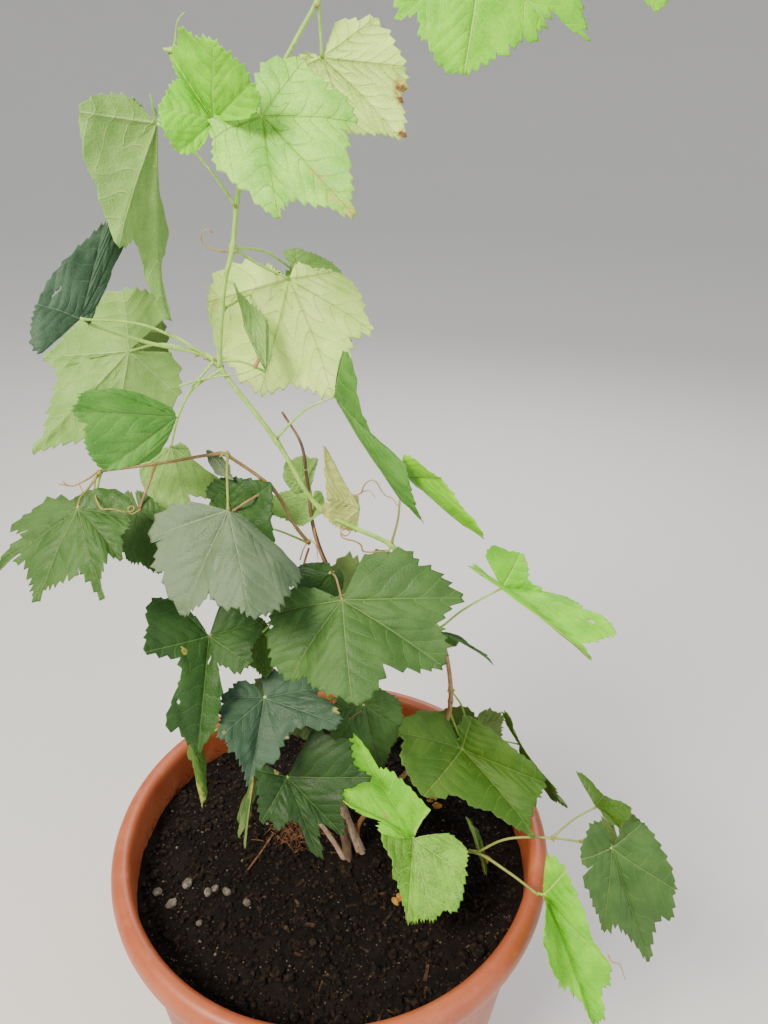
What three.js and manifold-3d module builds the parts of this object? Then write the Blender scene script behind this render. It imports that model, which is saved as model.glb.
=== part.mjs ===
// A young grapevine in a round plastic pot.
// Millimetres, +Z up. The origin is the centre of the pot's flat underside.

import * as THREE from 'three';
import { mergeVertices } from 'three/addons/utils/BufferGeometryUtils.js';
import Module from 'manifold-3d';

const wasm = await Module();
wasm.setup();

// Pot and compost
const POT_HEIGHT = 340;
const RIM_RADIUS = 200;
const RIM_INNER_RADIUS = 182;
const RIM_DROP = 30;
const RIM_STEPS = 8;
const RIM_TUCK_ANGLE = -60;
const WALL_TOP_RADIUS = 187;
const FOOT_RADIUS = 152;
const FOOT_EDGE = 5;
const WALL = 4;
const FLOOR = 5;
const SOIL_DEPTH_BELOW_RIM = 40;
const POT_SIDES = 36;
const DRAIN_RADIUS = 7;
const DRAIN_CIRCLE_RADIUS = 105;
const DRAIN_COUNT = 5;
const DRAIN_SIDES = 8;

// Gap between pieces that touch
const GAP = 0.3;

// Vertices nearer than this are one
const MERGE_DISTANCE = 1e-3;

// Facets smaller than this, left by a cut, are smoothed away
const SLIVER = 0.03;

// Foliage pads and leaf stalks
const PAD_HALF_THICKNESS = 3.6;
const PAD_JOINT_HALF_THICKNESS = 2.2;
const PAD_UNEVEN = 0.3;
const UNEVEN_TURN_AROUND = 2.3;
const UNEVEN_TURN_PER_LEAF = 1.7;
const PAD_MIDDLE = 0.52;
const PAD_EDGE_GROWTH = 4;
const STALK_RADIUS = 1.5;
const STALK_SIDES = 5;
const STALK_STEPS = 3;
const STALK_ARCH = 0.1;
const STALK_REACH_INTO_PAD = 0.22;

// Wooden and green shoots
const LIMB_SIDES = 6;
const STEPS_PER_STATION = 2;
const POINTS_PER_LIMB = 160;
const ROOT_FLARE = 0.9;
const ROOT_FLARE_HEIGHT = 22;

const SOIL_TOP = POT_HEIGHT - SOIL_DEPTH_BELOW_RIM;

// Every place on the plant is given as [u, v, y]: where it shows in an upright picture
// 768 wide and 1024 high, and how far it lies behind (+) or in front of (-) the pot's axis.
const PICTURE_CENTRE = [384, 512];
const FOCAL_LENGTH = 770;
const EYE = new THREE.Vector3(41, -513, 926);
const PITCH_DOWN = THREE.MathUtils.degToRad(26.9);
const ROLL = THREE.MathUtils.degToRad(1.35);

const FORWARD = new THREE.Vector3(0, Math.cos(PITCH_DOWN), -Math.sin(PITCH_DOWN));
const LEVEL = new THREE.Vector3(1, 0, 0);
const UPRIGHT = new THREE.Vector3().crossVectors(LEVEL, FORWARD);
const ACROSS = LEVEL.clone().multiplyScalar(Math.cos(ROLL)).addScaledVector(UPRIGHT, Math.sin(ROLL));
const UP = UPRIGHT.clone().multiplyScalar(Math.cos(ROLL)).addScaledVector(LEVEL, -Math.sin(ROLL));

function place([u, v, y]) {
  const ray = FORWARD.clone();
  ray.addScaledVector(ACROSS, (u - PICTURE_CENTRE[0]) / FOCAL_LENGTH);
  ray.addScaledVector(UP, -(v - PICTURE_CENTRE[1]) / FOCAL_LENGTH);
  return EYE.clone().addScaledVector(ray, (y - EYE.y) / ray.y);
}

// Limbs: each is one tapering tube through its stations, thick end first
const LIMBS = [
  {
    name: 'trunk', radii: [5.2, 4], flare: true, kind: 'bark',
    stations: [
      [366, 862, -8], [344, 811, -4], [340, 760, 2], [338, 690, 6], [335, 630, 9],
      [331, 573, 10],
    ],
  },
  {
    name: 'old_cane', radii: [3.2, 1.6], kind: 'bark',
    stations: [
      [331, 573, 10], [325, 561, 11], [314, 530, 12], [307, 480, 12], [301, 444, 14],
      [282, 412, 16],
    ],
  },
  {
    name: 'main_shoot_low', radii: [3, 2.3], kind: 'ripening',
    stations: [[356, 850, -4], [400, 796, 2], [447, 720, 8], [444, 645, 8], [438, 631, 8]],
  },
  {
    name: 'main_shoot_middle', radii: [2.3, 2], kind: 'green',
    stations: [
      [438, 631, 8], [420, 590, 6], [399, 555, 4], [391, 545, 3], [320, 508, 0], [277, 442, -1],
      [219, 367, 0],
    ],
  },
  {
    name: 'main_shoot_top', radii: [2, 1.5], kind: 'green',
    stations: [
      [219, 367, 0], [221, 320, 0], [225, 280, 1], [232, 251, 1], [239, 187, 4], [256, 120, 8], [283, 64, 6],
      [318, 0, 0],
    ],
  },
  {
    name: 'main_shoot_tip', radii: [1.5, 1], kind: 'green',
    stations: [
      [318, 0, 0], [360, -52, -6], [420, -84, -12], [500, -92, -16], [570, -88, -14],
      [626, -78, -12],
    ],
  },
  {
    name: 'brown_shoot', radii: [1.9, 1], kind: 'ripening',
    stations: [
      [309, 543, 12], [296, 527, 4], [272, 488, -4], [225, 453, -8], [155, 464, -12],
      [101, 471, -18],
    ],
  },
  {
    name: 'left_shoot', radii: [1.5, 1], kind: 'green',
    stations: [[219, 365, 0], [208, 356, -1], [149, 343, -8], [88, 324, -26]],
  },
  {
    name: 'low_right_shoot', radii: [2, 1.3], kind: 'ripening',
    stations: [
      [362, 856, -8], [400, 856, -16], [440, 853, -32], [476, 853, -46], [508, 872, -62],
      [537, 894, -81],
    ],
  },
  {
    name: 'low_right_branch', radii: [1.3, 1], kind: 'green',
    stations: [[476, 853, -46], [507, 839, -52], [552, 838, -58], [583, 842, -62]],
  },
  {
    name: 'cut_stub_left', radii: [4, 3.4], kind: 'bark',
    stations: [[340, 868, -14], [332, 846, -12], [323, 826, -10]],
  },
];

// Foliage: each pad follows one leaf blade, or a pair that overlap, with its stalk.
// left and right are the side lobes as seen looking from the joint to the tip.
const LEAVES = [
  {
    name: 'arch_leaf',
    joint: [482, -52, -30], tip: [465, 74, -52], left: [573, 59, -30], right: [399, 15, -44],
    leftBase: [566, -32, -20], rightBase: [406, -48, -31], stalkFrom: [486, -78, -18],
  },
  {
    name: 'arch_end_leaf',
    joint: [632, -62, -18], tip: [656, 12, -30], left: [690, -22, -20], right: [618, -18, -26],
    leftBase: [672, -72, -14], rightBase: [600, -66, -19], stalkFrom: [622, -84, -12],
  },
  {
    name: 'upper_leaf',
    joint: [262, 114, -22], tip: [355, 219, -62], left: [347, 135, -30], right: [279, 221, -52],
    leftBase: [306, 66, -10], rightBase: [213, 142, -26], stalkFrom: [240, 182, 0],
  },
  {
    name: 'tip_leaf',
    joint: [322, 57, 6], tip: [401, 141, -4], left: [402, 62, -12], right: [346, 134, 10],
    leftBase: [372, 17, -3], rightBase: [283, 62, 14], stalkFrom: [318, 2, -2],
  },
  {
    name: 'young_leaf',
    joint: [214, 121, -20], tip: [168, 50, -8], left: [160, 108, -34], right: [226, 40, -46],
    leftBase: [181, 156, -36], rightBase: [254, 84, -45], stalkFrom: [243, 160, 2],
  },
  {
    name: 'hanging_left_leaf',
    joint: [157, 123, -8], tip: [167, 320, 8], left: [171, 235, 40], right: [118, 246, -22],
    leftBase: [162, 110, 21], rightBase: [82, 112, -26], stalkFrom: [237, 205, 2],
  },
  {
    name: 'dark_left_leaf',
    joint: [83, 322, -32], tip: [104, 224, 10], left: [34, 318, -40], right: [117, 240, 12],
    leftBase: [40, 356, -57], rightBase: [98, 306, -18], stalkFrom: [208, 356, 0],
  },
  {
    name: 'broad_left_leaf',
    joint: [129, 351, 12], tip: [32, 451, -8], left: [112, 440, -4], right: [50, 362, 16],
    leftBase: [176, 400, 9], rightBase: [142, 290, 24], stalkFrom: [197, 364, 2],
  },
  {
    name: 'left_low_leaf',
    joint: [177, 417, -30], tip: [72, 420, -62], left: [106, 465, -66], right: [104, 391, -46],
    leftBase: [166, 446, -43], rightBase: [160, 400, -28], stalkFrom: [213, 362, -2],
  },
  {
    name: 'middle_leaf',
    joint: [289, 279, 22], tip: [338, 396, 12], left: [371, 331, 14], right: [258, 396, 30],
    leftBase: [334, 264, 20], rightBase: [208, 296, 32], stalkFrom: [234, 249, 2],
  },
  {
    name: 'middle_back_leaf',
    joint: [300, 262, 40], tip: [352, 292, 36], left: [346, 262, 44], right: [318, 300, 30],
    leftBase: [300, 248, 45], rightBase: [280, 290, 34], stalkFrom: [234, 249, 4],
  },
  {
    name: 'strip_leaf',
    joint: [334, 396, -4], tip: [422, 522, -14], left: [380, 437, -14], right: [366, 462, -2],
    leftBase: [346, 354, -16], rightBase: [332, 416, 12], stalkFrom: [281, 438, -2],
  },
  {
    name: 'brown_tip_leaf',
    joint: [406, 476, 2], tip: [479, 537, -22], left: [442, 478, -22], right: [434, 508, -4],
    leftBase: [410, 453, -12], rightBase: [400, 496, 12], stalkFrom: [394, 544, 2],
  },
  {
    name: 'right_leaf',
    joint: [501, 589, 0], tip: [615, 633, -32], left: [566, 594, 8], right: [587, 660, -48],
    leftBase: [500, 545, 12], rightBase: [474, 568, -12], stalkFrom: [440, 631, 4],
  },
  {
    name: 'right_small_leaf',
    joint: [441, 634, 4], tip: [496, 665, -14], left: [474, 640, 0], right: [470, 656, -22],
    leftBase: [452, 629, 9], rightBase: [444, 648, -7], stalkFrom: [440, 634, 4],
  },
  {
    name: 'low_right_leaf',
    joint: [462, 748, -10], tip: [531, 834, -66], left: [545, 778, -30], right: [428, 798, -58],
    leftBase: [474, 716, 0], rightBase: [400, 735, -21], stalkFrom: [447, 700, 10],
  },
  {
    name: 'edge_leaf',
    joint: [519, 744, 18], tip: [567, 806, -10], left: [560, 786, -34], right: [540, 774, 34],
    leftBase: [511, 712, -8], rightBase: [512, 740, 44], stalkFrom: [462, 760, 6],
  },
  {
    name: 'far_right_small_leaf',
    joint: [596, 807, -48], tip: [633, 812, -66], left: [604, 791, -40], right: [620, 830, -76],
    leftBase: [576, 774, -26], rightBase: [598, 822, -62], stalkFrom: [552, 838, -58],
  },
  {
    name: 'far_right_leaf',
    joint: [612, 847, -68], tip: [649, 962, -94], left: [672, 908, -84], right: [604, 931, -90],
    leftBase: [641, 819, -58], rightBase: [580, 850, -74], stalkFrom: [583, 842, -62],
  },
  {
    name: 'rim_leaf',
    joint: [541, 894, -86], tip: [595, 1021, -134], left: [613, 966, -116], right: [560, 986, -128],
    leftBase: [566, 868, -84], rightBase: [541, 930, -116], stalkFrom: [537, 894, -81],
  },
  {
    name: 'centre_leaf',
    joint: [343, 596, -52], tip: [352, 703, -112], left: [442, 660, -78], right: [287, 678, -84],
    leftBase: [459, 601, -44], rightBase: [270, 618, -49], stalkFrom: [330, 575, 6],
  },
  {
    name: 'broad_pale_leaf',
    joint: [229, 511, -52], tip: [262, 620, -108], left: [294, 573, -66], right: [186, 618, -96],
    leftBase: [272, 532, -37], rightBase: [152, 538, -60], stalkFrom: [226, 455, -6],
  },
  {
    name: 'far_left_leaf',
    joint: [79, 508, -58], tip: [103, 598, -104], left: [121, 560, -84], right: [41, 600, -92],
    leftBase: [146, 524, -57], rightBase: [4, 572, -63], stalkFrom: [99, 471, -18],
  },
  {
    name: 'left_shade_leaf',
    joint: [139, 510, -22], tip: [160, 573, -54], left: [178, 548, -38], right: [128, 560, -44],
    leftBase: [164, 512, -20], rightBase: [120, 520, -24], stalkFrom: [155, 464, -10],
  },
  {
    name: 'left_pale_back_leaf',
    joint: [180, 440, 14], tip: [169, 513, -8], left: [230, 482, 12], right: [131, 470, 6],
    leftBase: [208, 458, 22], rightBase: [150, 446, 18], stalkFrom: [219, 370, 4],
  },
  {
    name: 'left_lobed_leaf',
    joint: [210, 636, -40], tip: [200, 752, -88], left: [258, 664, -56], right: [144, 650, -72],
    leftBase: [262, 617, -30], rightBase: [158, 600, -42], stalkFrom: [304, 590, 2],
  },
  {
    name: 'blue_leaf',
    joint: [263, 697, -50], tip: [247, 779, -96], left: [338, 725, -66], right: [219, 738, -86],
    leftBase: [318, 676, -41], rightBase: [224, 688, -56], stalkFrom: [338, 660, 4],
  },
  {
    name: 'front_dark_leaf',
    joint: [286, 775, -66], tip: [320, 857, -104], left: [342, 834, -92], right: [262, 824, -92],
    leftBase: [362, 774, -68], rightBase: [249, 769, -68], stalkFrom: [345, 790, 0],
  },
  {
    name: 'shaded_leaf',
    joint: [364, 704, -6], tip: [380, 772, -26], left: [402, 728, -14], right: [334, 744, -20],
    leftBase: [398, 700, -3], rightBase: [330, 712, -8], stalkFrom: [346, 690, 6],
  },
  {
    name: 'lit_low_leaf',
    joint: [414, 838, -62], tip: [350, 739, -46], left: [342, 812, -76], right: [431, 810, -56],
    leftBase: [392, 846, -80], rightBase: [430, 836, -65], stalkFrom: [366, 838, -10],
  },
  {
    name: 'front_low_leaf',
    joint: [413, 838, -64], tip: [436, 916, -108], left: [466, 884, -84], right: [403, 922, -104],
    leftBase: [456, 838, -59], rightBase: [379, 832, -74], stalkFrom: [366, 840, -10],
  },
  {
    name: 'yellow_leaf',
    joint: [361, 508, 4], tip: [326, 444, -8], left: [326, 484, -12], right: [346, 480, 4],
    leftBase: [334, 522, -3], rightBase: [360, 492, 9], stalkFrom: [322, 509, 0],
  },
  {
    name: 'pale_back_leaf',
    joint: [312, 500, 22], tip: [302, 526, 4], left: [324, 510, 12], right: [268, 512, 14],
    leftBase: [322, 494, 23], rightBase: [276, 494, 24], stalkFrom: [305, 470, 12],
  },
  {
    name: 'back_top_leaf',
    joint: [290, 110, 34], tip: [290, 196, 74], left: [330, 165, 58], right: [250, 165, 58],
    leftBase: [325, 112, 34], rightBase: [252, 118, 34], stalkFrom: [246, 150, 6],
  },
  {
    name: 'back_arch_leaf',
    joint: [484, -58, 6], tip: [470, 44, 24], left: [530, 10, 14], right: [420, 8, 16],
    leftBase: [540, -40, 5], rightBase: [430, -45, 6], stalkFrom: [440, -87, -13],
  },
  {
    name: 'back_middle_leaf',
    joint: [285, 300, 71], tip: [300, 378, 115], left: [348, 345, 86], right: [240, 350, 97],
    leftBase: [340, 295, 63], rightBase: [228, 300, 71], stalkFrom: [222, 310, 1],
  },
  {
    name: 'back_left_leaf',
    joint: [130, 330, 53], tip: [80, 400, 89], left: [125, 420, 79], right: [70, 345, 76],
    leftBase: [160, 385, 55], rightBase: [105, 305, 54], stalkFrom: [219, 366, 1],
  },
  {
    name: 'back_shoulder_leaf',
    joint: [235, 530, 40], tip: [215, 600, 94], left: [262, 580, 74], right: [178, 570, 79],
    leftBase: [270, 530, 41], rightBase: [190, 528, 45], stalkFrom: [309, 543, 11],
  },
  {
    name: 'back_centre_leaf',
    joint: [365, 590, 40], tip: [378, 664, 107], left: [430, 640, 79], right: [310, 655, 81],
    leftBase: [430, 590, 38], rightBase: [305, 610, 41], stalkFrom: [334, 600, 10],
  },
  {
    name: 'back_low_leaf',
    joint: [470, 735, 40], tip: [440, 752, 105], left: [500, 745, 74], right: [415, 745, 94],
    leftBase: [505, 722, 36], rightBase: [430, 720, 51], stalkFrom: [444, 690, 8],
  },
  {
    name: 'back_low_left_leaf',
    joint: [285, 700, 29], tip: [266, 742, 100], left: [312, 745, 74], right: [240, 735, 74],
    leftBase: [318, 705, 31], rightBase: [240, 700, 31], stalkFrom: [337, 670, 7],
  },
  {
    name: 'back_far_left_leaf',
    joint: [95, 515, -20], tip: [85, 570, 14], left: [125, 545, 0], right: [48, 548, 2],
    leftBase: [130, 515, -20], rightBase: [60, 512, -19], stalkFrom: [101, 471, -18],
  },
  {
    name: 'back_foot_leaf',
    joint: [365, 715, 40], tip: [369, 754, 112], left: [395, 745, 86], right: [342, 745, 86],
    leftBase: [392, 715, 42], rightBase: [338, 718, 42], stalkFrom: [340, 740, 4],
  },
  {
    name: 'back_rim_leaf',
    joint: [622, 852, -40], tip: [640, 930, -34], left: [662, 885, -40], right: [605, 905, -36],
    leftBase: [650, 835, -43], rightBase: [592, 852, -40], stalkFrom: [583, 842, -62],
  },
];

// Leaf lobes: angle from the midrib in degrees, and reach as a share of the midrib
const SIDE_LOBE = { angle: 50, reach: 0.86 };
const BASE_LOBE = { angle: 104, reach: 0.66 };
const HEEL_ANGLE = 160;
const HALF_OUTLINE = [[24, 0.8], [50, 0.86], [77, 0.68], [104, 0.66], [140, 0.5], [166, 0.38]];
const MIRRORED_HALF = HALF_OUTLINE.map(([angle, reach]) => [-angle, reach]).reverse();
const OUTLINE = [...MIRRORED_HALF, [0, 1], ...HALF_OUTLINE];

const FINISHES = {
  clay: { color: '#c4694a', roughness: 0.55 },
  compost: { color: '#2b221c', roughness: 1 },
  bark: { color: '#8a6a4c', roughness: 0.9 },
  ripening: { color: '#a4744a', roughness: 0.7 },
  green: { color: '#a9b95f', roughness: 0.55 },
  leaf: { color: '#5c8a3c', roughness: 0.6 },
};

function finish(kind) {
  return new THREE.MeshStandardMaterial({ ...FINISHES[kind], metalness: 0 });
}

function solidOf(points, triangles) {
  const vertProperties = new Float32Array(points.flatMap((p) => [p.x, p.y, p.z]));
  const triVerts = new Uint32Array(triangles);
  return new wasm.Manifold(new wasm.Mesh({ numProp: 3, vertProperties, triVerts }));
}

function solidOfGeometry(geometry) {
  geometry.deleteAttribute('normal');
  geometry.deleteAttribute('uv');
  const merged = mergeVertices(geometry, MERGE_DISTANCE);
  return new wasm.Manifold(new wasm.Mesh({
    numProp: 3,
    vertProperties: new Float32Array(merged.getAttribute('position').array),
    triVerts: new Uint32Array(merged.getIndex().array),
  }));
}

// A cut can leave a sliver on a neighbour's far side: only the main body is kept
function mainBody(solid) {
  const main = solid.decompose().reduce((best, body) => (body.volume() > best.volume() ? body : best));
  return main.simplify(SLIVER);
}

function meshOf(name, solid, kind) {
  const { vertProperties, triVerts } = solid.getMesh();
  const geometry = new THREE.BufferGeometry();
  geometry.setAttribute('position', new THREE.BufferAttribute(vertProperties, 3));
  geometry.setIndex(new THREE.BufferAttribute(triVerts, 1));
  geometry.computeVertexNormals();
  const mesh = new THREE.Mesh(geometry, finish(kind));
  mesh.name = name;
  return mesh;
}

function turned(profile) {
  const points = profile.map(([radius, height]) => new THREE.Vector2(radius, height));
  return solidOfGeometry(new THREE.LatheGeometry(points, POT_SIDES).rotateX(Math.PI / 2));
}

// The pot: flat foot, wall widening upward, and a broad rounded rim that hangs outside the wall
function wallRadiusAt(height) {
  const share = height / (POT_HEIGHT - RIM_DROP);
  return FOOT_RADIUS + (WALL_TOP_RADIUS - FOOT_RADIUS) * share;
}

// The rim's roll is an oval, open where it tucks in under its outer edge
function rimRoll() {
  const centre = [(RIM_RADIUS + RIM_INNER_RADIUS) / 2, POT_HEIGHT - RIM_DROP / 2];
  const points = [];
  for (let i = 0; i <= RIM_STEPS; i += 1) {
    const turn = THREE.MathUtils.degToRad(RIM_TUCK_ANGLE + ((180 - RIM_TUCK_ANGLE) * i) / RIM_STEPS);
    const radius = centre[0] + ((RIM_RADIUS - RIM_INNER_RADIUS) / 2) * Math.cos(turn);
    points.push([radius, centre[1] + (RIM_DROP / 2) * Math.sin(turn)]);
  }
  return points;
}

function pot() {
  const profile = [
    [0, 0],
    [FOOT_RADIUS - FOOT_EDGE, 0],
    [wallRadiusAt(FOOT_EDGE), FOOT_EDGE],
    [WALL_TOP_RADIUS, POT_HEIGHT - RIM_DROP],
    ...rimRoll(),
    [wallRadiusAt(SOIL_TOP) - WALL, SOIL_TOP],
    [wallRadiusAt(FLOOR) - WALL, FLOOR],
    [0, FLOOR],
  ];
  let body = turned(profile);
  for (let i = 0; i < DRAIN_COUNT; i += 1) {
    const turn = ((i + 0.5) / DRAIN_COUNT) * 2 * Math.PI;
    const hole = new THREE.CylinderGeometry(DRAIN_RADIUS, DRAIN_RADIUS, 3 * FLOOR, DRAIN_SIDES);
    hole.rotateX(Math.PI / 2);
    hole.translate(DRAIN_CIRCLE_RADIUS * Math.cos(turn), DRAIN_CIRCLE_RADIUS * Math.sin(turn), FLOOR / 2);
    body = body.subtract(solidOfGeometry(hole));
  }
  return body;
}

function compost() {
  const bottom = FLOOR + GAP;
  return turned([
    [0, bottom],
    [wallRadiusAt(bottom) - WALL - GAP, bottom],
    [wallRadiusAt(SOIL_TOP) - WALL - GAP, SOIL_TOP],
    [0, SOIL_TOP],
  ]);
}

// A tapering tube with closed ends along a curve
function tube(curve, steps, sides, radiusAt) {
  const { normals, binormals } = curve.computeFrenetFrames(steps, false);
  const points = [];
  const triangles = [];
  for (let i = 0; i <= steps; i += 1) {
    const centre = curve.getPointAt(i / steps);
    const radius = radiusAt(i / steps, centre);
    for (let j = 0; j < sides; j += 1) {
      const turn = (j / sides) * 2 * Math.PI;
      const point = centre.clone().addScaledVector(normals[i], radius * Math.cos(turn));
      points.push(point.addScaledVector(binormals[i], radius * Math.sin(turn)));
    }
  }
  for (let i = 0; i < steps; i += 1) {
    for (let j = 0; j < sides; j += 1) {
      const a = i * sides + j;
      const b = i * sides + ((j + 1) % sides);
      triangles.push(a, b, b + sides, a, b + sides, a + sides);
    }
  }
  const last = steps * sides;
  for (let j = 1; j < sides - 1; j += 1) {
    triangles.push(0, j + 1, j, last, last + j, last + j + 1);
  }
  return solidOf(points, triangles);
}

function middleLine({ stations }) {
  return new THREE.CatmullRomCurve3(stations.map(place), false, 'centripetal');
}

function limb(shape, growth) {
  const { stations, radii, flare } = shape;
  const curve = middleLine(shape);
  const steps = stations.length * STEPS_PER_STATION;
  return tube(curve, steps, LIMB_SIDES, (share, centre) => {
    const taper = radii[0] + (radii[1] - radii[0]) * share;
    const height = Math.max(centre.z - SOIL_TOP, 0);
    const swell = flare ? 1 + ROOT_FLARE * Math.exp(-height / ROOT_FLARE_HEIGHT) : 1;
    return taper * swell + growth;
  });
}

// The leaf's lobes open like a fan: between two lobes a direction is a mix of both
function fanOf(leaf) {
  const joint = place(leaf.joint);
  const arm = (spot, reach) => place(spot).sub(joint).divideScalar(reach);
  const midrib = arm(leaf.tip, 1);
  const arms = new Map([[0, midrib]]);
  for (const [sign, side, base] of [[-1, leaf.left, leaf.leftBase], [1, leaf.right, leaf.rightBase]]) {
    const baseArm = arm(base, BASE_LOBE.reach);
    arms.set(sign * SIDE_LOBE.angle, arm(side, SIDE_LOBE.reach));
    arms.set(sign * BASE_LOBE.angle, baseArm);
    arms.set(sign * HEEL_ANGLE, mixed(HEEL_ANGLE, 0, midrib, BASE_LOBE.angle, baseArm));
  }
  return { joint, arms };
}

function mixed(angle, angleA, armA, angleB, armB) {
  const span = THREE.MathUtils.degToRad(angleB - angleA);
  const part = THREE.MathUtils.degToRad(angle - angleA);
  const shareB = Math.sin(part) / Math.sin(span);
  const shareA = Math.cos(part) - shareB * Math.cos(span);
  return armA.clone().multiplyScalar(shareA).addScaledVector(armB, shareB);
}

function armAt(arms, angle) {
  const size = Math.abs(angle);
  const sign = Math.sign(angle) || 1;
  const stops = [0, SIDE_LOBE.angle, BASE_LOBE.angle, HEEL_ANGLE];
  const k = Math.min(stops.findLastIndex((stop) => size >= stop), stops.length - 2);
  const [low, high] = [stops[k], stops[k + 1]];
  return mixed(size, low, arms.get(sign * low), high, arms.get(sign * high));
}

function faceDirection(arms) {
  const order = [-BASE_LOBE.angle, -SIDE_LOBE.angle, 0, SIDE_LOBE.angle, BASE_LOBE.angle];
  const total = new THREE.Vector3();
  for (let i = 0; i + 1 < order.length; i += 1) {
    total.add(new THREE.Vector3().crossVectors(arms.get(order[i + 1]), arms.get(order[i])));
  }
  return total.normalize();
}

function pad(leaf, index, growth) {
  const { joint, arms } = fanOf(leaf);
  const face = faceDirection(arms);
  const count = OUTLINE.length;
  const points = [];
  for (const side of [1, -1]) {
    points.push(joint.clone().addScaledVector(face, side * (PAD_JOINT_HALF_THICKNESS + growth)));
  }
  for (const side of [1, -1]) {
    for (let i = 0; i < count; i += 1) {
      const [angle, reach] = OUTLINE[i];
      const wave = Math.sin(UNEVEN_TURN_AROUND * i + UNEVEN_TURN_PER_LEAF * index);
      const uneven = 1 + PAD_UNEVEN * wave;
      const thick = PAD_HALF_THICKNESS * uneven + growth;
      const middle = armAt(arms, angle).multiplyScalar(reach * PAD_MIDDLE);
      points.push(joint.clone().add(middle).addScaledVector(face, side * thick));
    }
  }
  for (const [angle, reach] of OUTLINE) {
    const edge = armAt(arms, angle).multiplyScalar(reach);
    edge.setLength(edge.length() + (growth > 0 ? PAD_EDGE_GROWTH : 0));
    points.push(joint.clone().add(edge));
  }
  const front = 2;
  const back = 2 + count;
  const rim = 2 + 2 * count;
  const triangles = [];
  for (let i = 0; i < count; i += 1) {
    const j = (i + 1) % count;
    triangles.push(0, front + j, front + i, 1, back + i, back + j);
    triangles.push(front + i, front + j, rim + j, front + i, rim + j, rim + i);
    triangles.push(back + i, rim + i, rim + j, back + i, rim + j, back + j);
  }
  return solidOf(points, triangles);
}

// A stalk springs from the middle line of the nearest limb
const limbPoints = LIMBS.flatMap((shape) => middleLine(shape).getSpacedPoints(POINTS_PER_LIMB));

function springOf(leaf) {
  const start = place(leaf.stalkFrom);
  const nearer = (best, point) => (point.distanceTo(start) < best.distanceTo(start) ? point : best);
  return limbPoints.reduce(nearer).clone();
}

function stalk(leaf, growth) {
  const start = springOf(leaf);
  const joint = place(leaf.joint);
  const end = joint.clone().lerp(place(leaf.tip), STALK_REACH_INTO_PAD);
  const crest = start.clone().add(joint).multiplyScalar(0.5);
  crest.z += STALK_ARCH * start.distanceTo(joint);
  const curve = new THREE.CatmullRomCurve3([start, crest, joint, end], false, 'centripetal');
  return tube(curve, STALK_STEPS, STALK_SIDES, () => STALK_RADIUS + growth);
}

const group = new THREE.Group();
group.add(meshOf('pot', pot(), 'clay'));
group.add(meshOf('compost', compost(), 'compost'));

// Nothing on the plant reaches below the compost's surface
const ground = new THREE.BoxGeometry(2 * RIM_RADIUS, 2 * RIM_RADIUS, SOIL_TOP);
ground.translate(0, 0, SOIL_TOP / 2 + GAP);
let taken = solidOfGeometry(ground);

for (const shape of LIMBS) {
  group.add(meshOf(shape.name, mainBody(limb(shape, 0).subtract(taken)), shape.kind));
  taken = taken.add(limb(shape, GAP));
}
LEAVES.forEach((leaf, index) => {
  const blade = pad(leaf, index, 0).add(stalk(leaf, 0));
  group.add(meshOf(leaf.name, mainBody(blade.subtract(taken)), 'leaf'));
  taken = taken.add(pad(leaf, index, GAP)).add(stalk(leaf, GAP));
});

export default group;
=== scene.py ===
# %% [markdown]
# A young grapevine in a plastic pot
#
# This lesson builds the looks of a potted grapevine around a frame of plain solids.
# The frame holds the real sizes and places. Each plain solid is replaced here by the piece
# that it stands for: toothed leaves with veins, stalks, tendrils, barked wood, a moulded pot
# and crumbly compost.

# %% Load the frame
import random
from math import atan2, cos, degrees, exp, hypot, pi, radians, sin, sqrt

import bmesh
import bpy
from mathutils import Matrix, Vector, noise


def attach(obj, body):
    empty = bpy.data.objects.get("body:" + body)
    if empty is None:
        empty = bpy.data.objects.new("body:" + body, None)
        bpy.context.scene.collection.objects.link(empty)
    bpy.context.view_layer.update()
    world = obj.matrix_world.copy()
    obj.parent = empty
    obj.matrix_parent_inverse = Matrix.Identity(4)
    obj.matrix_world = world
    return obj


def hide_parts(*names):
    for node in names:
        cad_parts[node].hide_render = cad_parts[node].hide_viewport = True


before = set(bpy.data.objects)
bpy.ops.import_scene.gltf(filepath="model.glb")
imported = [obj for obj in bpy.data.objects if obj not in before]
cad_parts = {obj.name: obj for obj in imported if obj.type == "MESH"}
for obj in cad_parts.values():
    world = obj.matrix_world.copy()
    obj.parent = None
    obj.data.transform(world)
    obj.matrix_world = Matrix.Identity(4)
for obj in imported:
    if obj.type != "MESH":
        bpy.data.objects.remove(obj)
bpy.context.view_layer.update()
MM = 0.001

# %% [markdown]
# The camera stands a little above the plant and looks down on it.
# Every place on the plant is written as (u, v, y): where it shows in an upright picture of
# 768 by 1024, and how many millimetres it lies behind (+) or in front of (-) the pot's axis.
# One sight line through the picture and one depth give one point in space.

# %% The camera's eye and the sight lines
PICTURE_WIDTH = 768
PICTURE_HEIGHT = 1024
FOCAL_LENGTH_PX = 770
EYE = Vector((41, -513, 926)) * MM
PITCH_DOWN = radians(26.9)
ROLL = radians(1.35)

FORWARD = Vector((0, cos(PITCH_DOWN), -sin(PITCH_DOWN)))
UPRIGHT = Vector((1, 0, 0)).cross(FORWARD)
ACROSS = Vector((1, 0, 0)) * cos(ROLL) + UPRIGHT * sin(ROLL)
UP = UPRIGHT * cos(ROLL) - Vector((1, 0, 0)) * sin(ROLL)


def place(u, v, y):
    ray = FORWARD + ACROSS * (u - PICTURE_WIDTH / 2) / FOCAL_LENGTH_PX
    ray = ray - UP * (v - PICTURE_HEIGHT / 2) / FOCAL_LENGTH_PX
    return EYE + ray * ((y * MM - EYE.y) / ray.y)


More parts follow.
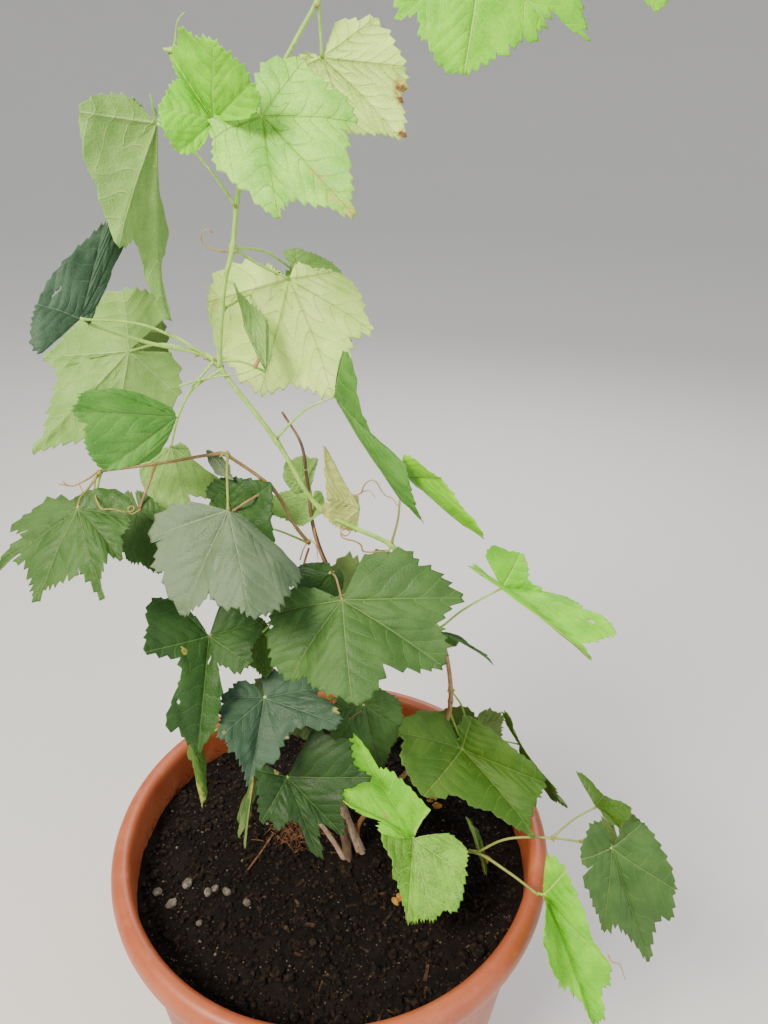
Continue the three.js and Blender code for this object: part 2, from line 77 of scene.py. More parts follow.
print("the pot's rim in front of the eye:", place(384, 1010, -190))

# %% [markdown]
# Two small helpers serve every material: one turns a hex colour to the linear values that
# Blender's shaders work in, and one adds a node with its settings and links and hands back one
# of its outputs, so that the next node can take it in.

# %% Colours and nodes
NOISE, CELLS, MATHS = "ShaderNodeTexNoise", "ShaderNodeTexVoronoi", "ShaderNodeMath"
RANGE, MIX, BUMP = "ShaderNodeMapRange", "ShaderNodeMix", "ShaderNodeBump"
SMOOTH = {"interpolation_type": "SMOOTHSTEP"}
COLOURS = {"data_type": "RGBA"}
PLUS, MINUS, TIMES = {"operation": "ADD"}, {"operation": "SUBTRACT"}, {"operation": "MULTIPLY"}
TIMES_PLUS = {"operation": "MULTIPLY_ADD"}


def linear(hex_colour):
    channels = [int(hex_colour[i:i + 2], 16) / 255 for i in (1, 3, 5)]
    return [c / 12.92 if c <= 0.04045 else ((c + 0.055) / 1.055) ** 2.4 for c in channels] + [1.0]


def per(size_mm):
    """The scale that makes a pattern's cells this many millimetres wide."""
    return 1 / (size_mm * MM)


def add(tree, kind, settings=None, give=0, **inputs):
    """Adds a node. An input is named i0, i1 ... by its number, or by its name with _ for a space."""
    node = tree.nodes.new(kind)
    for key, value in (settings or {}).items():
        setattr(node, key, value)
    for key, value in inputs.items():
        socket = node.inputs[int(key[1:])] if key[1:].isdigit() else node.inputs[key.replace("_", " ")]
        if isinstance(value, bpy.types.NodeSocket):
            tree.links.new(value, socket)
        else:
            socket.default_value = value
    return node.outputs[give]


def new_material(name):
    """A material's parts: itself, its node tree, its shader's inputs and a point's place on the object."""
    material = bpy.data.materials.new(name)
    material.use_nodes = True
    tree = material.node_tree
    here = add(tree, "ShaderNodeTexCoord", None, "Object")
    return material, tree, tree.nodes["Principled BSDF"].inputs, here


print("hex #808080 is linear", round(linear("#808080")[0], 3))

# %% [markdown]
# A vine leaf is a thin sheet that the light reads in three sizes of pattern: five main veins,
# side veins that leave them at a slant, and a fine net between those. Image textures could
# show them, but here the pattern is worked out from each point's place on its own leaf, which
# the mesh carries as the attribute "leaf place": a count that is a whole number on each side
# vein, how many widths of a main vein it lies off one, and how scorched the blade is there.

# %% The veins of a leaf
NET_CELL_MM = 2.6
TONE_PATCH_MM = 22


def vein_pattern(tree, here):
    spot = add(tree, "ShaderNodeAttribute", {"attribute_name": "leaf place"}, "Vector")
    count, off_main, scorch = add(tree, "ShaderNodeSeparateXYZ", Vector=spot).node.outputs
    slow = add(tree, NOISE, Vector=here, Scale=per(16), Detail=2.0, Roughness=0.55)
    wander = add(tree, MATHS, TIMES_PLUS, i0=slow, i1=0.36, i2=-0.18)
    phase = add(tree, MATHS, {"operation": "FRACT"}, i0=add(tree, MATHS, PLUS, i0=count, i1=wander))
    from_middle = add(tree, MATHS, {"operation": "ABSOLUTE"}, i0=add(tree, MATHS, MINUS, i0=phase, i1=0.5))
    off_line = add(tree, MATHS, MINUS, i0=0.5, i1=from_middle)
    line = add(tree, RANGE, SMOOTH, i0=off_line, i1=0.014, i2=0.060, i3=1.0, i4=0.0)
    thinned = add(tree, RANGE, SMOOTH, i0=off_main, i1=6.0, i2=32.0, i3=1.0, i4=0.45)
    side = add(tree, MATHS, TIMES, i0=line, i1=thinned)
    main = add(tree, RANGE, SMOOTH, i0=off_main, i1=0.40, i2=1.0, i3=1.0, i4=0.0)
    cell_edge = add(tree, CELLS, {"feature": "DISTANCE_TO_EDGE"}, Vector=here, Scale=per(NET_CELL_MM))
    net = add(tree, RANGE, SMOOTH, i0=cell_edge, i1=0.02, i2=0.11, i3=1.0, i4=0.0)
    quilt = add(tree, MATHS, TIMES, i0=add(tree, RANGE, SMOOTH, i0=off_line, i1=0.0, i2=0.42), i1=thinned)
    blister = add(tree, RANGE, SMOOTH, i0=cell_edge, i1=0.0, i2=0.35)
    return main, side, net, quilt, blister, scorch


def scorched(tree, here, colour, scorch):
    """Burnt spots: yellow outside, brown within, with a ragged border."""
    near = add(tree, RANGE, SMOOTH, i0=scorch, i1=0.0, i2=0.15)
    ragged = add(tree, NOISE, Vector=here, Scale=per(4), Detail=4.0, Roughness=0.55)
    ragged = add(tree, MATHS, TIMES_PLUS, i0=ragged, i1=1.1, i2=-0.55)
    level = add(tree, MATHS, TIMES_PLUS, i0=ragged, i1=near, i2=scorch)
    yellow = add(tree, RANGE, SMOOTH, i0=level, i1=0.10, i2=0.40, i4=0.75)
    brown = add(tree, RANGE, SMOOTH, i0=level, i1=0.42, i2=0.75)
    colour = add(tree, MIX, COLOURS, 2, i0=yellow, i6=colour, i7=linear("#b5ae54"))
    return add(tree, MIX, COLOURS, 2, i0=brown, i6=colour, i7=linear("#7a5531"))


print("net cells of", NET_CELL_MM, "mm, patches of tone of", TONE_PATCH_MM, "mm")

# %% [markdown]
# The upper side has a thin wax: its gloss is soft and uneven, and the veins lie in grooves.
# The underside is felted, so it is paler and dull, and its veins stand out as ridges.

# %% Leaf finishes
# how strongly a groove or ridge stands for the main veins, side veins, net, quilt and blisters
TOP_RELIEF, TOP_DEPTH = (-1.1, -0.7, -0.12, 0.75, 0.22), 0.3 * MM
UNDERSIDE_RELIEF, UNDERSIDE_DEPTH = (1.0, 0.8, 0.2, -0.6, -0.15), 0.4 * MM
UNDERSIDE_SHARES = (0.15, 0.38, 0.60)


def leaf_colour(tree, here, veins, blade, deep, shares, vein_colours):
    main, side, net, _, _, scorch = veins
    tone = add(tree, NOISE, Vector=here, Scale=per(TONE_PATCH_MM), Detail=4.0, Roughness=0.55)
    patches = add(tree, RANGE, SMOOTH, i0=tone, i1=0.35, i2=0.68)
    colour = add(tree, MIX, COLOURS, 2, i0=patches, i6=linear(deep), i7=linear(blade))
    fine = add(tree, NOISE, Vector=here, Scale=per(2.2), Detail=2.0, Roughness=0.55)
    grain = add(tree, RANGE, SMOOTH, i0=fine, i1=0.4, i2=0.75, i4=0.22)
    colour = add(tree, MIX, COLOURS, 2, i0=grain, i6=colour, i7=linear(deep))
    for lines, share, line_colour in zip((net, side, main), shares, vein_colours):
        shown = add(tree, MATHS, TIMES, i0=lines, i1=share)
        colour = add(tree, MIX, COLOURS, 2, i0=shown, i6=colour, i7=linear(line_colour))
    return scorched(tree, here, colour, scorch), patches


def vein_relief(tree, veins, heights):
    relief = 0.0
    for lines, height in zip(veins, heights):
        relief = add(tree, MATHS, TIMES_PLUS, i0=lines, i1=height, i2=relief)
    return relief


def leaf_top(name, blade, deep, main_vein, fine_vein, main_share, side_share, net_share):
    material, tree, shader, here = new_material(name)
    veins = vein_pattern(tree, here)
    shares = (net_share, side_share, main_share)
    colour, patches = leaf_colour(tree, here, veins, blade, deep, shares, (fine_vein, fine_vein, main_vein))
    grooves = vein_relief(tree, veins, TOP_RELIEF)
    waxed = add(tree, RANGE, SMOOTH, i0=patches, i3=0.48, i4=0.60)
    tree.links.new(colour, shader["Base Color"])
    tree.links.new(waxed, shader["Roughness"])
    tree.links.new(add(tree, BUMP, Strength=1.0, Distance=TOP_DEPTH, Height=grooves), shader["Normal"])
    shader["IOR"].default_value = 1.42
    shader["Specular IOR Level"].default_value = 0.38
    return material


def leaf_underside(name, blade, deep, vein):
    material, tree, shader, here = new_material(name)
    veins = vein_pattern(tree, here)
    colour, _ = leaf_colour(tree, here, veins, blade, deep, UNDERSIDE_SHARES, (vein, vein, vein))
    ridges = vein_relief(tree, veins, UNDERSIDE_RELIEF)
    felt = add(tree, NOISE, Vector=here, Scale=per(0.8), Detail=2.0, Roughness=0.55)
    felted = add(tree, MATHS, TIMES_PLUS, i0=felt, i1=0.25, i2=ridges)
    tree.links.new(colour, shader["Base Color"])
    tree.links.new(add(tree, BUMP, Strength=1.0, Distance=UNDERSIDE_DEPTH, Height=felted), shader["Normal"])
    shader["Roughness"].default_value = 0.78
    shader["IOR"].default_value = 1.4
    return material


# tone: upper side's blade, its deeper patches, main vein, fine vein, how much the main veins, the
# side veins and the net show, then the underside's blade, its deeper patches and its veins.
# Apart from 'yellow', a leaf's own yellowing, the tones are lit and shaded copies of one leaf colour
# that paint the sun and shade on each leaf: painted full sun in 'sunlit', 'bright' and 'pale_lit',
# painted part shade in 'spring', 'fresh', 'olive' and 'mid', painted deep shade in 'dark' and 'deep',
# and painted shade with a painted bluish reflection of the sky in 'pale_blue' and 'dark_blue'.
TONES = {
    "sunlit": ("#86d80c", "#64b60a", "#d2ea86", "#ace04a", 0.60, 0.48, 0.18,
        "#a6d64a", "#8cc236", "#d0ea88"),
    "spring": ("#78b42a", "#56891e", "#cbe296", "#acd464", 0.65, 0.55, 0.26,
        "#a6d64a", "#8cc236", "#d0ea88"),
    # 'bright': its main vein, fine vein and net, darker than its blade, are painted shade in the vein
    # grooves
    "bright": ("#a6e650", "#7cc236", "#7f963c", "#5b953a", 0.62, 0.55, 0.30,
        "#dcf78c", "#c2ea6e", "#a0b458"),
    "pale_lit": ("#8ab459", "#75a147", "#bed78e", "#9ec270", 0.45, 0.45, 0.15,
        "#8ab459", "#75a147", "#b1cf81"),
    "fresh": ("#5b9137", "#447c27", "#9bbc6e", "#75a84d", 0.50, 0.48, 0.08,
        "#759b4b", "#62893c", "#a6bf7b"),
    "olive": ("#4b6c1e", "#395d14", "#889c4d", "#60852f", 0.42, 0.50, 0.08,
        "#6b873e", "#5a7533", "#9daf6a"),
    "mid": ("#486b30", "#385a24", "#8b9f64", "#5e8142", 0.42, 0.52, 0.08,
        "#6d8946", "#5d773b", "#95a96c"),
    "pale_blue": ("#657959", "#576e4c", "#9ca986", "#7b8d73", 0.45, 0.55, 0.08,
        "#738462", "#627453", "#9ba887"),
    "dark": ("#31561d", "#244714", "#769150", "#476d2d", 0.38, 0.46, 0.06,
        "#576e3e", "#475e32", "#8a9c65"),
    "deep": ("#28491a", "#1c3810", "#6d8a4c", "#3c6024", 0.40, 0.46, 0.06,
        "#576e3e", "#475e32", "#8a9c65"),
    "dark_blue": ("#3c5840", "#2c482f", "#86997e", "#567256", 0.38, 0.42, 0.08,
        "#627a58", "#526a4a", "#92a67e"),
    "yellow": ("#b9c65a", "#98a844", "#d0cc84", "#bcbc68", 0.50, 0.36, 0.15,
        "#c8d070", "#aab656", "#d8d898"),
}
leaf_finishes = {}
# each tone's upper side and underside materials carry that tone's painted light
for tone, values in TONES.items():
    top = leaf_top("vine leaf upper side " + tone, *values[:7])
    under = leaf_underside("vine leaf underside " + tone, *values[7:])
    leaf_finishes[tone] = (top, under)
print("leaf tones:", ", ".join(TONES))

# %% [markdown]
# Green shoots are smooth and faintly ribbed; ripening shoots turn from green to orange-brown;
# the old wood has loose, stringy bark. They share one recipe: two colours dealt out in blotches,
# streaks drawn out along the stem, and a bump of the same grain.

# %% Stem finishes
def stem_finish(name, colours, grain_mm, stretch, depth_mm, roughness):
    material, tree, shader, here = new_material(name)
    drawn = add(tree, "ShaderNodeMapping", Vector=here, Scale=(1.0, 1.0, 1.0 / stretch))
    grain = add(tree, NOISE, Vector=drawn, Scale=per(grain_mm), Detail=5.0, Roughness=0.6)
    broad = add(tree, NOISE, Vector=here, Scale=per(grain_mm * 9), Detail=3.0, Roughness=0.55)
    blotch = add(tree, RANGE, SMOOTH, i0=broad, i1=0.36, i2=0.66)
    streak = add(tree, RANGE, SMOOTH, i0=grain, i1=0.46, i2=0.68, i4=0.75)
    colour = add(tree, MIX, COLOURS, 2, i0=blotch, i6=linear(colours[0]), i7=linear(colours[1]))
    colour = add(tree, MIX, COLOURS, 2, i0=streak, i6=colour, i7=linear(colours[2]))
    tree.links.new(colour, shader["Base Color"])
    tree.links.new(add(tree, BUMP, Strength=1.0, Distance=depth_mm * MM, Height=grain), shader["Normal"])
    shader["Roughness"].default_value = roughness
    return material


GREEN_SHOOT = stem_finish("green vine shoot", ("#a0cc52", "#8ab942", "#c0de78"), 1.2, 6, 0.12, 0.5)
RIPE_SHOOT = stem_finish("ripening vine shoot", ("#a9744a", "#b88d5a", "#84553a"), 1.0, 8, 0.15, 0.55)
BROWN_SHOOT = stem_finish("browning vine shoot", ("#84683a", "#97824a", "#744a30"), 1.0, 8, 0.15, 0.55)
OLIVE_SHOOT = stem_finish("olive vine shoot", ("#7f9440", "#93a04c", "#96744a"), 1.2, 8, 0.12, 0.5)
OLD_BARK = stem_finish("stringy vine bark", ("#80674f", "#64503f", "#3a2c21"), 1.6, 9, 0.6, 0.9)
CUT_WOOD = stem_finish("weathered cane", ("#c6ae94", "#aa8f75", "#685342"), 1.2, 10, 0.4, 0.88)
RED_STALK = stem_finish("reddish leaf stalk", ("#a07a50", "#96664a", "#8a9050"), 1.5, 4, 0.1, 0.5)
BUD_SCALE = stem_finish("vine bud scale", ("#a2a058", "#8c8448", "#75603a"), 1.2, 2, 0.15, 0.6)
TENDRIL = stem_finish("dry tendril", ("#a88c48", "#98753a", "#c0a868"), 1.4, 2, 0.1, 0.6)
print("stem finishes:", GREEN_SHOOT.name, RIPE_SHOOT.name, OLD_BARK.name)

# %% [markdown]
# The pot is injection-moulded polypropylene coloured like fired clay. Moulding leaves a faint
# satin orange peel; use leaves dust, dull scuffs, lime bloom and dried drips of compost.

# %% Pot finish
SOILED_FROM, SOILED_TO = 0.318, 0.300


def pot_plastic():
    material, tree, shader, here = new_material("moulded polypropylene, terracotta colour")
    cloud = add(tree, NOISE, Vector=here, Scale=per(60), Detail=4.0, Roughness=0.55)
    shade = add(tree, RANGE, SMOOTH, i0=cloud, i1=0.35, i2=0.68)
    colour = add(tree, MIX, COLOURS, 2, i0=shade, i6=linear("#a4512f"), i7=linear("#b4603b"))
    dust = add(tree, NOISE, Vector=here, Scale=per(26), Detail=6.0, Roughness=0.65)
    bloom = add(tree, RANGE, SMOOTH, i0=dust, i1=0.52, i2=0.78)
    bloomed = add(tree, MATHS, TIMES, i0=bloom, i1=0.34)
    colour = add(tree, MIX, COLOURS, 2, i0=bloomed, i6=colour, i7=linear("#cf9468"))
    drawn = add(tree, "ShaderNodeMapping", Vector=here, Scale=(1.0, 1.0, 0.12))
    drips = add(tree, NOISE, Vector=drawn, Scale=per(5), Detail=4.0, Roughness=0.55)
    streaks = add(tree, RANGE, SMOOTH, i0=drips, i1=0.58, i2=0.72, i4=0.28)
    colour = add(tree, MIX, COLOURS, 2, i0=streaks, i6=colour, i7=linear("#843f24"))
    height = add(tree, "ShaderNodeSeparateXYZ", None, "Z", Vector=here)
    soiled = add(tree, RANGE, SMOOTH, i0=height, i1=SOILED_FROM, i2=SOILED_TO)
    splashes = add(tree, NOISE, Vector=here, Scale=per(2.6), Detail=4.0, Roughness=0.7)
    splashed = add(tree, MATHS, TIMES, i0=add(tree, RANGE, SMOOTH, i0=splashes, i1=0.50, i2=0.66), i1=soiled)
    colour = add(tree, MIX, COLOURS, 2, i0=splashed, i6=colour, i7=linear("#3a281c"))
    spots = add(tree, CELLS, {"feature": "F1"}, Vector=here, Scale=per(13))
    dots = add(tree, RANGE, SMOOTH, i0=spots, i1=0.05, i2=0.09, i3=1.0, i4=0.0)
    specks = add(tree, MATHS, TIMES, i0=dots, i1=bloom)
    colour = add(tree, MIX, COLOURS, 2, i0=specks, i6=colour, i7=linear("#4b382a"))
    peel = add(tree, NOISE, Vector=here, Scale=per(1.1), Detail=2.0, Roughness=0.55)
    scuffs = add(tree, NOISE, Vector=drawn, Scale=per(3), Detail=3.0, Roughness=0.55)
    surface = add(tree, MATHS, TIMES_PLUS, i0=scuffs, i1=0.7, i2=peel)
    tree.links.new(colour, shader["Base Color"])
    tree.links.new(add(tree, RANGE, SMOOTH, i0=bloom, i3=0.42, i4=0.66), shader["Roughness"])
    tree.links.new(add(tree, BUMP, Strength=1.0, Distance=0.10 * MM, Height=surface), shader["Normal"])
    shader["IOR"].default_value = 1.49
    return material


POT_PLASTIC = pot_plastic()
print("pot finish:", POT_PLASTIC.name)

# %% [markdown]
# Potting compost is peat, bark fines and grit. It is nearly black where moist and brown where
# it has dried, and hardly shiny at all.

# %% Compost finishes
def crumb_finish(name, dark, brown, pale, patch_mm, grit_mm, roughness):
    material, tree, shader, here = new_material(name)
    damp = add(tree, NOISE, Vector=here, Scale=per(patch_mm), Detail=4.0, Roughness=0.55)
    dry = add(tree, RANGE, SMOOTH, i0=damp, i1=0.42, i2=0.66)
    colour = add(tree, MIX, COLOURS, 2, i0=dry, i6=linear(dark), i7=linear(brown))
    grit = add(tree, NOISE, Vector=here, Scale=per(grit_mm), Detail=5.0, Roughness=0.7)
    flecks = add(tree, RANGE, SMOOTH, i0=grit, i1=0.60, i2=0.74, i4=0.6)
    colour = add(tree, MIX, COLOURS, 2, i0=flecks, i6=colour, i7=linear(pale))
    rough = add(tree, NOISE, Vector=here, Scale=per(grit_mm * 0.8), Detail=5.0, Roughness=0.7)
    tree.links.new(colour, shader["Base Color"])
    tree.links.new(add(tree, BUMP, Strength=1.0, Distance=1.2 * MM, Height=rough), shader["Normal"])
    shader["Roughness"].default_value = roughness
    shader["Specular IOR Level"].default_value = 0.2
    return material


COMPOST = crumb_finish("moist potting compost", "#0c0806", "#18110d", "#4a3b2f", 14, 1.3, 0.9)
CLODS = crumb_finish("compost crumbs", "#0f0a07", "#32261c", "#6e5b4a", 4.0, 0.9, 0.93)
PEBBLE = crumb_finish("dusty river grit", "#5c544b", "#857b6f", "#a89e92", 3, 1.2, 0.8)
BARK_CHIP = crumb_finish("composted bark chip", "#2a1d14", "#57402d", "#8a7052", 7, 1.2, 0.9)
WOOD_FLECK = crumb_finish("dry wood fleck", "#4a3d31", "#7c6b58", "#ab9a83", 6, 1.5, 0.85)
ROOT_FIBRE = crumb_finish("dry root fibre", "#5a3d2a", "#8c6549", "#b48f6e", 5, 1.0, 0.85)
DRY_SCRAP = crumb_finish("dry leaf scrap", "#a8702c", "#c9a050", "#e0cc92", 6, 2.0, 0.8)
print("compost finishes:", COMPOST.name, CLODS.name, PEBBLE.name)

# %% [markdown]
# Stems, stalks, tendrils and roots are all tubes along a curve. Blender's bevelled curves make
# them quickly, but a grid that is bent round a path lets the radius swell at the joints of a
# shoot and lets bark stand off the wood, so one helper bends a grid and closes its ends.

# %% Paths and tubes
WELD = 1e-7


def smooth_path(stations, step):
    """Points about step apart on a centripetal Catmull-Rom curve through the stations."""
    ends = [stations[0] * 2 - stations[1]] + list(stations) + [stations[-1] * 2 - stations[-2]]
    points = []
    for a, b, c, d in zip(ends, ends[1:], ends[2:], ends[3:]):
        t1 = sqrt((b - a).length)
        t2 = t1 + sqrt((c - b).length)
        t3 = t2 + sqrt((d - c).length)
        count = max(2, round((c - b).length / step))
        for i in range(count):
            t = t1 + (t2 - t1) * i / count
            ab = a * ((t1 - t) / t1) + b * (t / t1)
            bc = b * ((t2 - t) / (t2 - t1)) + c * ((t - t1) / (t2 - t1))
            cd = c * ((t3 - t) / (t3 - t2)) + d * ((t - t2) / (t3 - t2))
            abc = ab * ((t2 - t) / t2) + bc * (t / t2)
            bcd = bc * ((t3 - t) / (t3 - t1)) + cd * ((t - t1) / (t3 - t1))
            points.append(abc * ((t2 - t) / (t2 - t1)) + bcd * ((t - t1) / (t2 - t1)))
    points.append(stations[-1].copy())
    return points


def distances(points):
    run = [0.0]
    for a, b in zip(points, points[1:]):
        run.append(run[-1] + (b - a).length)
    return run


def frames_along(points):
    """A side and a second side for each point, turned as little as possible from one to the next."""
    heading = (points[1] - points[0]).normalized()
    side = heading.orthogonal().normalized()
    sides = []
    for i in range(len(points)):
        ahead = points[min(i + 1, len(points) - 1)] - points[max(i - 1, 0)]
        heading = ahead.normalized()
        side = (side - heading * side.dot(heading)).normalized()
        sides.append((side.copy(), heading.cross(side)))
    return sides


def grid_place(vert, across, up):
    """Which column and row of a fresh grid of this many steps a vertex is in."""
    return round((vert.co.x + 1) / 2 * across), round((vert.co.y + 1) / 2 * up)


def add_tube(bm, points, radius_at, around):
    """Bends a grid round the path; radius_at(distance, turn) gives the radius in metres."""
    run = distances(points)
    sides = frames_along(points)
    last = len(points) - 1
    made = bmesh.ops.create_grid(bm, x_segments=around, y_segments=last, size=1.0)["verts"]
    for vert in made:
        i, j = grid_place(vert, around, last)
        turn = 2 * pi * (i % around) / around
        first, second = sides[j]
        radius = radius_at(run[j], turn)
        vert.co = points[j] + (first * cos(turn) + second * sin(turn)) * radius
    faces = set(f for v in made for f in v.link_faces)
    for face in faces:
        face.smooth = True
    bmesh.ops.remove_doubles(bm, verts=made, dist=WELD)
    rims = set(e for f in faces if f.is_valid for e in f.edges if e.is_boundary)
    bmesh.ops.holes_fill(bm, edges=list(rims), sides=0)


def all_smooth(bm):
    for face in bm.faces:
        face.smooth = True


def spun(section, unit, turns, weld):
    """A section of (radius, height) corners, spun once round the upright axis."""
    bm = bmesh.new()
    ring = [bm.verts.new((r * unit, 0, z * unit)) for r, z in section]
    edges = [bm.edges.new(pair) for pair in zip(ring, ring[1:])]
    bmesh.ops.spin(bm, geom=ring + edges, cent=(0, 0, 0), axis=(0, 0, 1), angle=2 * pi,
                   steps=turns, use_merge=True, use_duplicate=False)
    bmesh.ops.remove_doubles(bm, verts=bm.verts, dist=weld)
    return bm


def linked(name, data):
    made = bpy.data.objects.new(name, data)
    bpy.context.scene.collection.objects.link(made)
    return made


def mesh_object(name, bm, materials=()):
    mesh = bpy.data.meshes.new(name)
    bm.to_mesh(mesh)
    bm.free()
    for material in materials:
        mesh.materials.append(material)
    return linked(name, mesh)


def finished_piece(name, bm, materials, replaced=(), turn_outward=True):
    if turn_outward:
        bmesh.ops.recalc_face_normals(bm, faces=bm.faces)
    piece = mesh_object(name, bm, materials)
    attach(piece, "root")
    if replaced:
        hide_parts(*replaced)
    triangles = sum(len(p.vertices) - 2 for p in piece.data.polygons)
    print(f"{name}: {triangles} triangles")
    return piece


print("a tube's path needs", len(smooth_path([Vector((0, 0, 0)), Vector((0, 0, 0.1))], 0.004)),
      "points for 100 mm")

# %% [markdown]
# The pot is a body of revolution, so its section is drawn once and spun. The rim is a rolled
# band that hangs a little outside the wall: its lip is widest near its lower edge and a small
# step under it casts the dark line that tells a moulded rim from a solid one.

# %% The pot
POT_TURNS = 144
DRAIN_RADIUS = 7 * MM
DRAIN_CIRCLE = 105 * MM
DRAIN_COUNT = 5
DRILL_LENGTH = 0.02
DRILL_MIDDLE = 0.0025
POT_SECTION_MM = [
    (0, 0.6), (140, 0.6), (142, 0), (146.5, 0), (149.5, 1.2), (151.6, 3.2), (152.6, 6),
    (156.5, 40), (156.9, 40.6), (157.3, 44), (186.2, 303), (186.6, 309.2), (187.0, 310.2),
    (194.4, 311.4), (196.6, 312.6), (198.6, 316), (199.7, 321), (200, 326), (199.4, 331),
    (197.6, 335.4), (194.8, 338.6), (191.2, 340), (187.6, 339.4), (184.6, 337.4), (182.9, 334),
    (182.3, 329), (181.9, 300), (149.0, 6.2), (147, 5.2), (0, 5.2),
]


def build_pot():
    bm = spun(POT_SECTION_MM, MM, POT_TURNS, 1e-6)
    for vert in bm.verts:
        flat = Vector((vert.co.x, vert.co.y, 0))
        if vert.co.z > 0.2 and flat.length > 0.15:
            angle = atan2(vert.co.y, vert.co.x)
            wobble = 0.0005 * sin(2 * angle + 0.7) + 0.0003 * sin(5 * angle)
            vert.co += flat.normalized() * min(wobble, 0.0) * (vert.co.z - 0.2) / 0.14
    all_smooth(bm)
    return finished_piece("plastic_pot", bm, [POT_PLASTIC], ["pot"])


def drill_drains(pot):
    bm = bmesh.new()
    for i in range(DRAIN_COUNT):
        turn = (i + 0.5) / DRAIN_COUNT * 2 * pi
        spot = Matrix.Translation((DRAIN_CIRCLE * cos(turn), DRAIN_CIRCLE * sin(turn), DRILL_MIDDLE))
        bmesh.ops.create_cone(bm, cap_ends=True, segments=24, radius1=DRAIN_RADIUS, radius2=DRAIN_RADIUS,
                              depth=DRILL_LENGTH, matrix=spot)
    drill = mesh_object("drain drill", bm)
    cut = pot.modifiers.new("drain holes", "BOOLEAN")
    cut.operation = "DIFFERENCE"
    cut.solver = "EXACT"
    cut.object = drill
    depsgraph = bpy.context.evaluated_depsgraph_get()
    drilled = bpy.data.meshes.new_from_object(pot.evaluated_get(depsgraph))
    pot.modifiers.clear()
    pot.data = drilled
    bpy.data.objects.remove(drill)
    print("drain holes:", DRAIN_COUNT)


pot = build_pot()
drill_drains(pot)
pot.data.set_sharp_from_angle(angle=radians(50))

# %% [markdown]
# Compost fills the pot to four centimetres below the rim. Its surface is a round grid heaped
# up and hollowed by noise, higher round the trunk; on it lie loose crumbs, pale grit, flecks of
# wood, scraps of dry leaf and chips of bark. Most are squashed balls of only twenty faces.

# %% The compost's surface
SOIL_TOP = 300 * MM
SOIL_RADIUS = 181.2 * MM
SOIL_FOOT_RADIUS = 148 * MM
SOIL_FOOT = 5.6 * MM
SOIL_TURNS = 270
SOIL_RINGS = 110
HEAP_MM, HEAP_WIDTH = 6.0, 0.055
TRUNK_FOOT = place(366, 862, -8)


def soil_height(x, y):
    spot = Vector((x, y, 0))
    rolling = noise.noise(spot * 22) * 3.2 + noise.noise(spot * 60 + Vector((5, 1, 0))) * 2.2
    clods = noise.noise(spot * 150) * 1.5 + noise.noise(spot * 330 + Vector((0, 9, 0))) * 0.9
    heap = HEAP_MM * exp(-((x - TRUNK_FOOT.x) ** 2 + (y - TRUNK_FOOT.y) ** 2) / HEAP_WIDTH ** 2)
    edge = hypot(x, y) / SOIL_RADIUS
    sunk = -3.5 * edge ** 6
    return SOIL_TOP + (rolling + clods + heap + sunk) * MM


def build_soil():
    bm = bmesh.new()
    made = bmesh.ops.create_grid(bm, x_segments=SOIL_TURNS, y_segments=SOIL_RINGS + 2, size=1.0)["verts"]
    for vert in made:
        i, j = grid_place(vert, SOIL_TURNS, SOIL_RINGS + 2)
        turn = 2 * pi * (i % SOIL_TURNS) / SOIL_TURNS
        if j <= SOIL_RINGS:
            radius = SOIL_RADIUS * j / SOIL_RINGS
            x, y = radius * cos(turn), radius * sin(turn)
            vert.co = (x, y, soil_height(x, y))
        else:
            radius = SOIL_FOOT_RADIUS if j == SOIL_RINGS + 1 else 0.0
            vert.co = (radius * cos(turn), radius * sin(turn), SOIL_FOOT)
    bmesh.ops.remove_doubles(bm, verts=bm.verts, dist=WELD)
    all_smooth(bm)
    finished_piece("compost_filling", bm, [COMPOST], ["compost"])


build_soil()

# %% Crumbs, grit and bark chips on the compost
CHIP_COUNT = 90
GRIT_SPOTS = [(157, 892), (187, 884), (208, 893), (227, 893), (215, 889), (247, 903), (172, 905), (199, 921)]
SCRAP_SPOTS = [(430, 802), (437, 807), (433, 798), (401, 899), (396, 904), (488, 862)]


def soil_spot(u, v):
    """The place on the compost that shows at (u, v)."""
    near = place(u, v, -200)
    ray = near - EYE
    spot = EYE + ray * ((SOIL_TOP - EYE.z) / ray.z)
    return spot.x, spot.y


def scatter(bm, rng, spots, sizes, squash, subdivisions, uneven, sink):
    for x, y in spots:
        size = rng.uniform(*sizes) * MM
        made = bmesh.ops.create_icosphere(bm, subdivisions=subdivisions, radius=size)["verts"]
        lengths = Vector((rng.uniform(0.7, 1.3), rng.uniform(0.7, 1.3), squash * rng.uniform(0.7, 1.2)))
        turn = (Matrix.Rotation(rng.uniform(0, 2 * pi), 3, "Z")
                @ Matrix.Rotation(rng.uniform(-0.6, 0.6), 3, "X"))
        height = soil_height(x, y) + size * squash * (1 - sink)
        for vert in made:
            lump = 1 + uneven * rng.uniform(-1, 1)
            shaped = Vector(a * b for a, b in zip(vert.co, lengths)) * lump
            vert.co = turn @ shaped + Vector((x, y, height))


def round_spots(rng, count, most=0.176, crowd=0.5):
    spots = []
    for _ in range(count):
        radius = most * rng.random() ** crowd
        turn = rng.uniform(0, 2 * pi)
        spots.append((radius * cos(turn), radius * sin(turn)))
    return spots


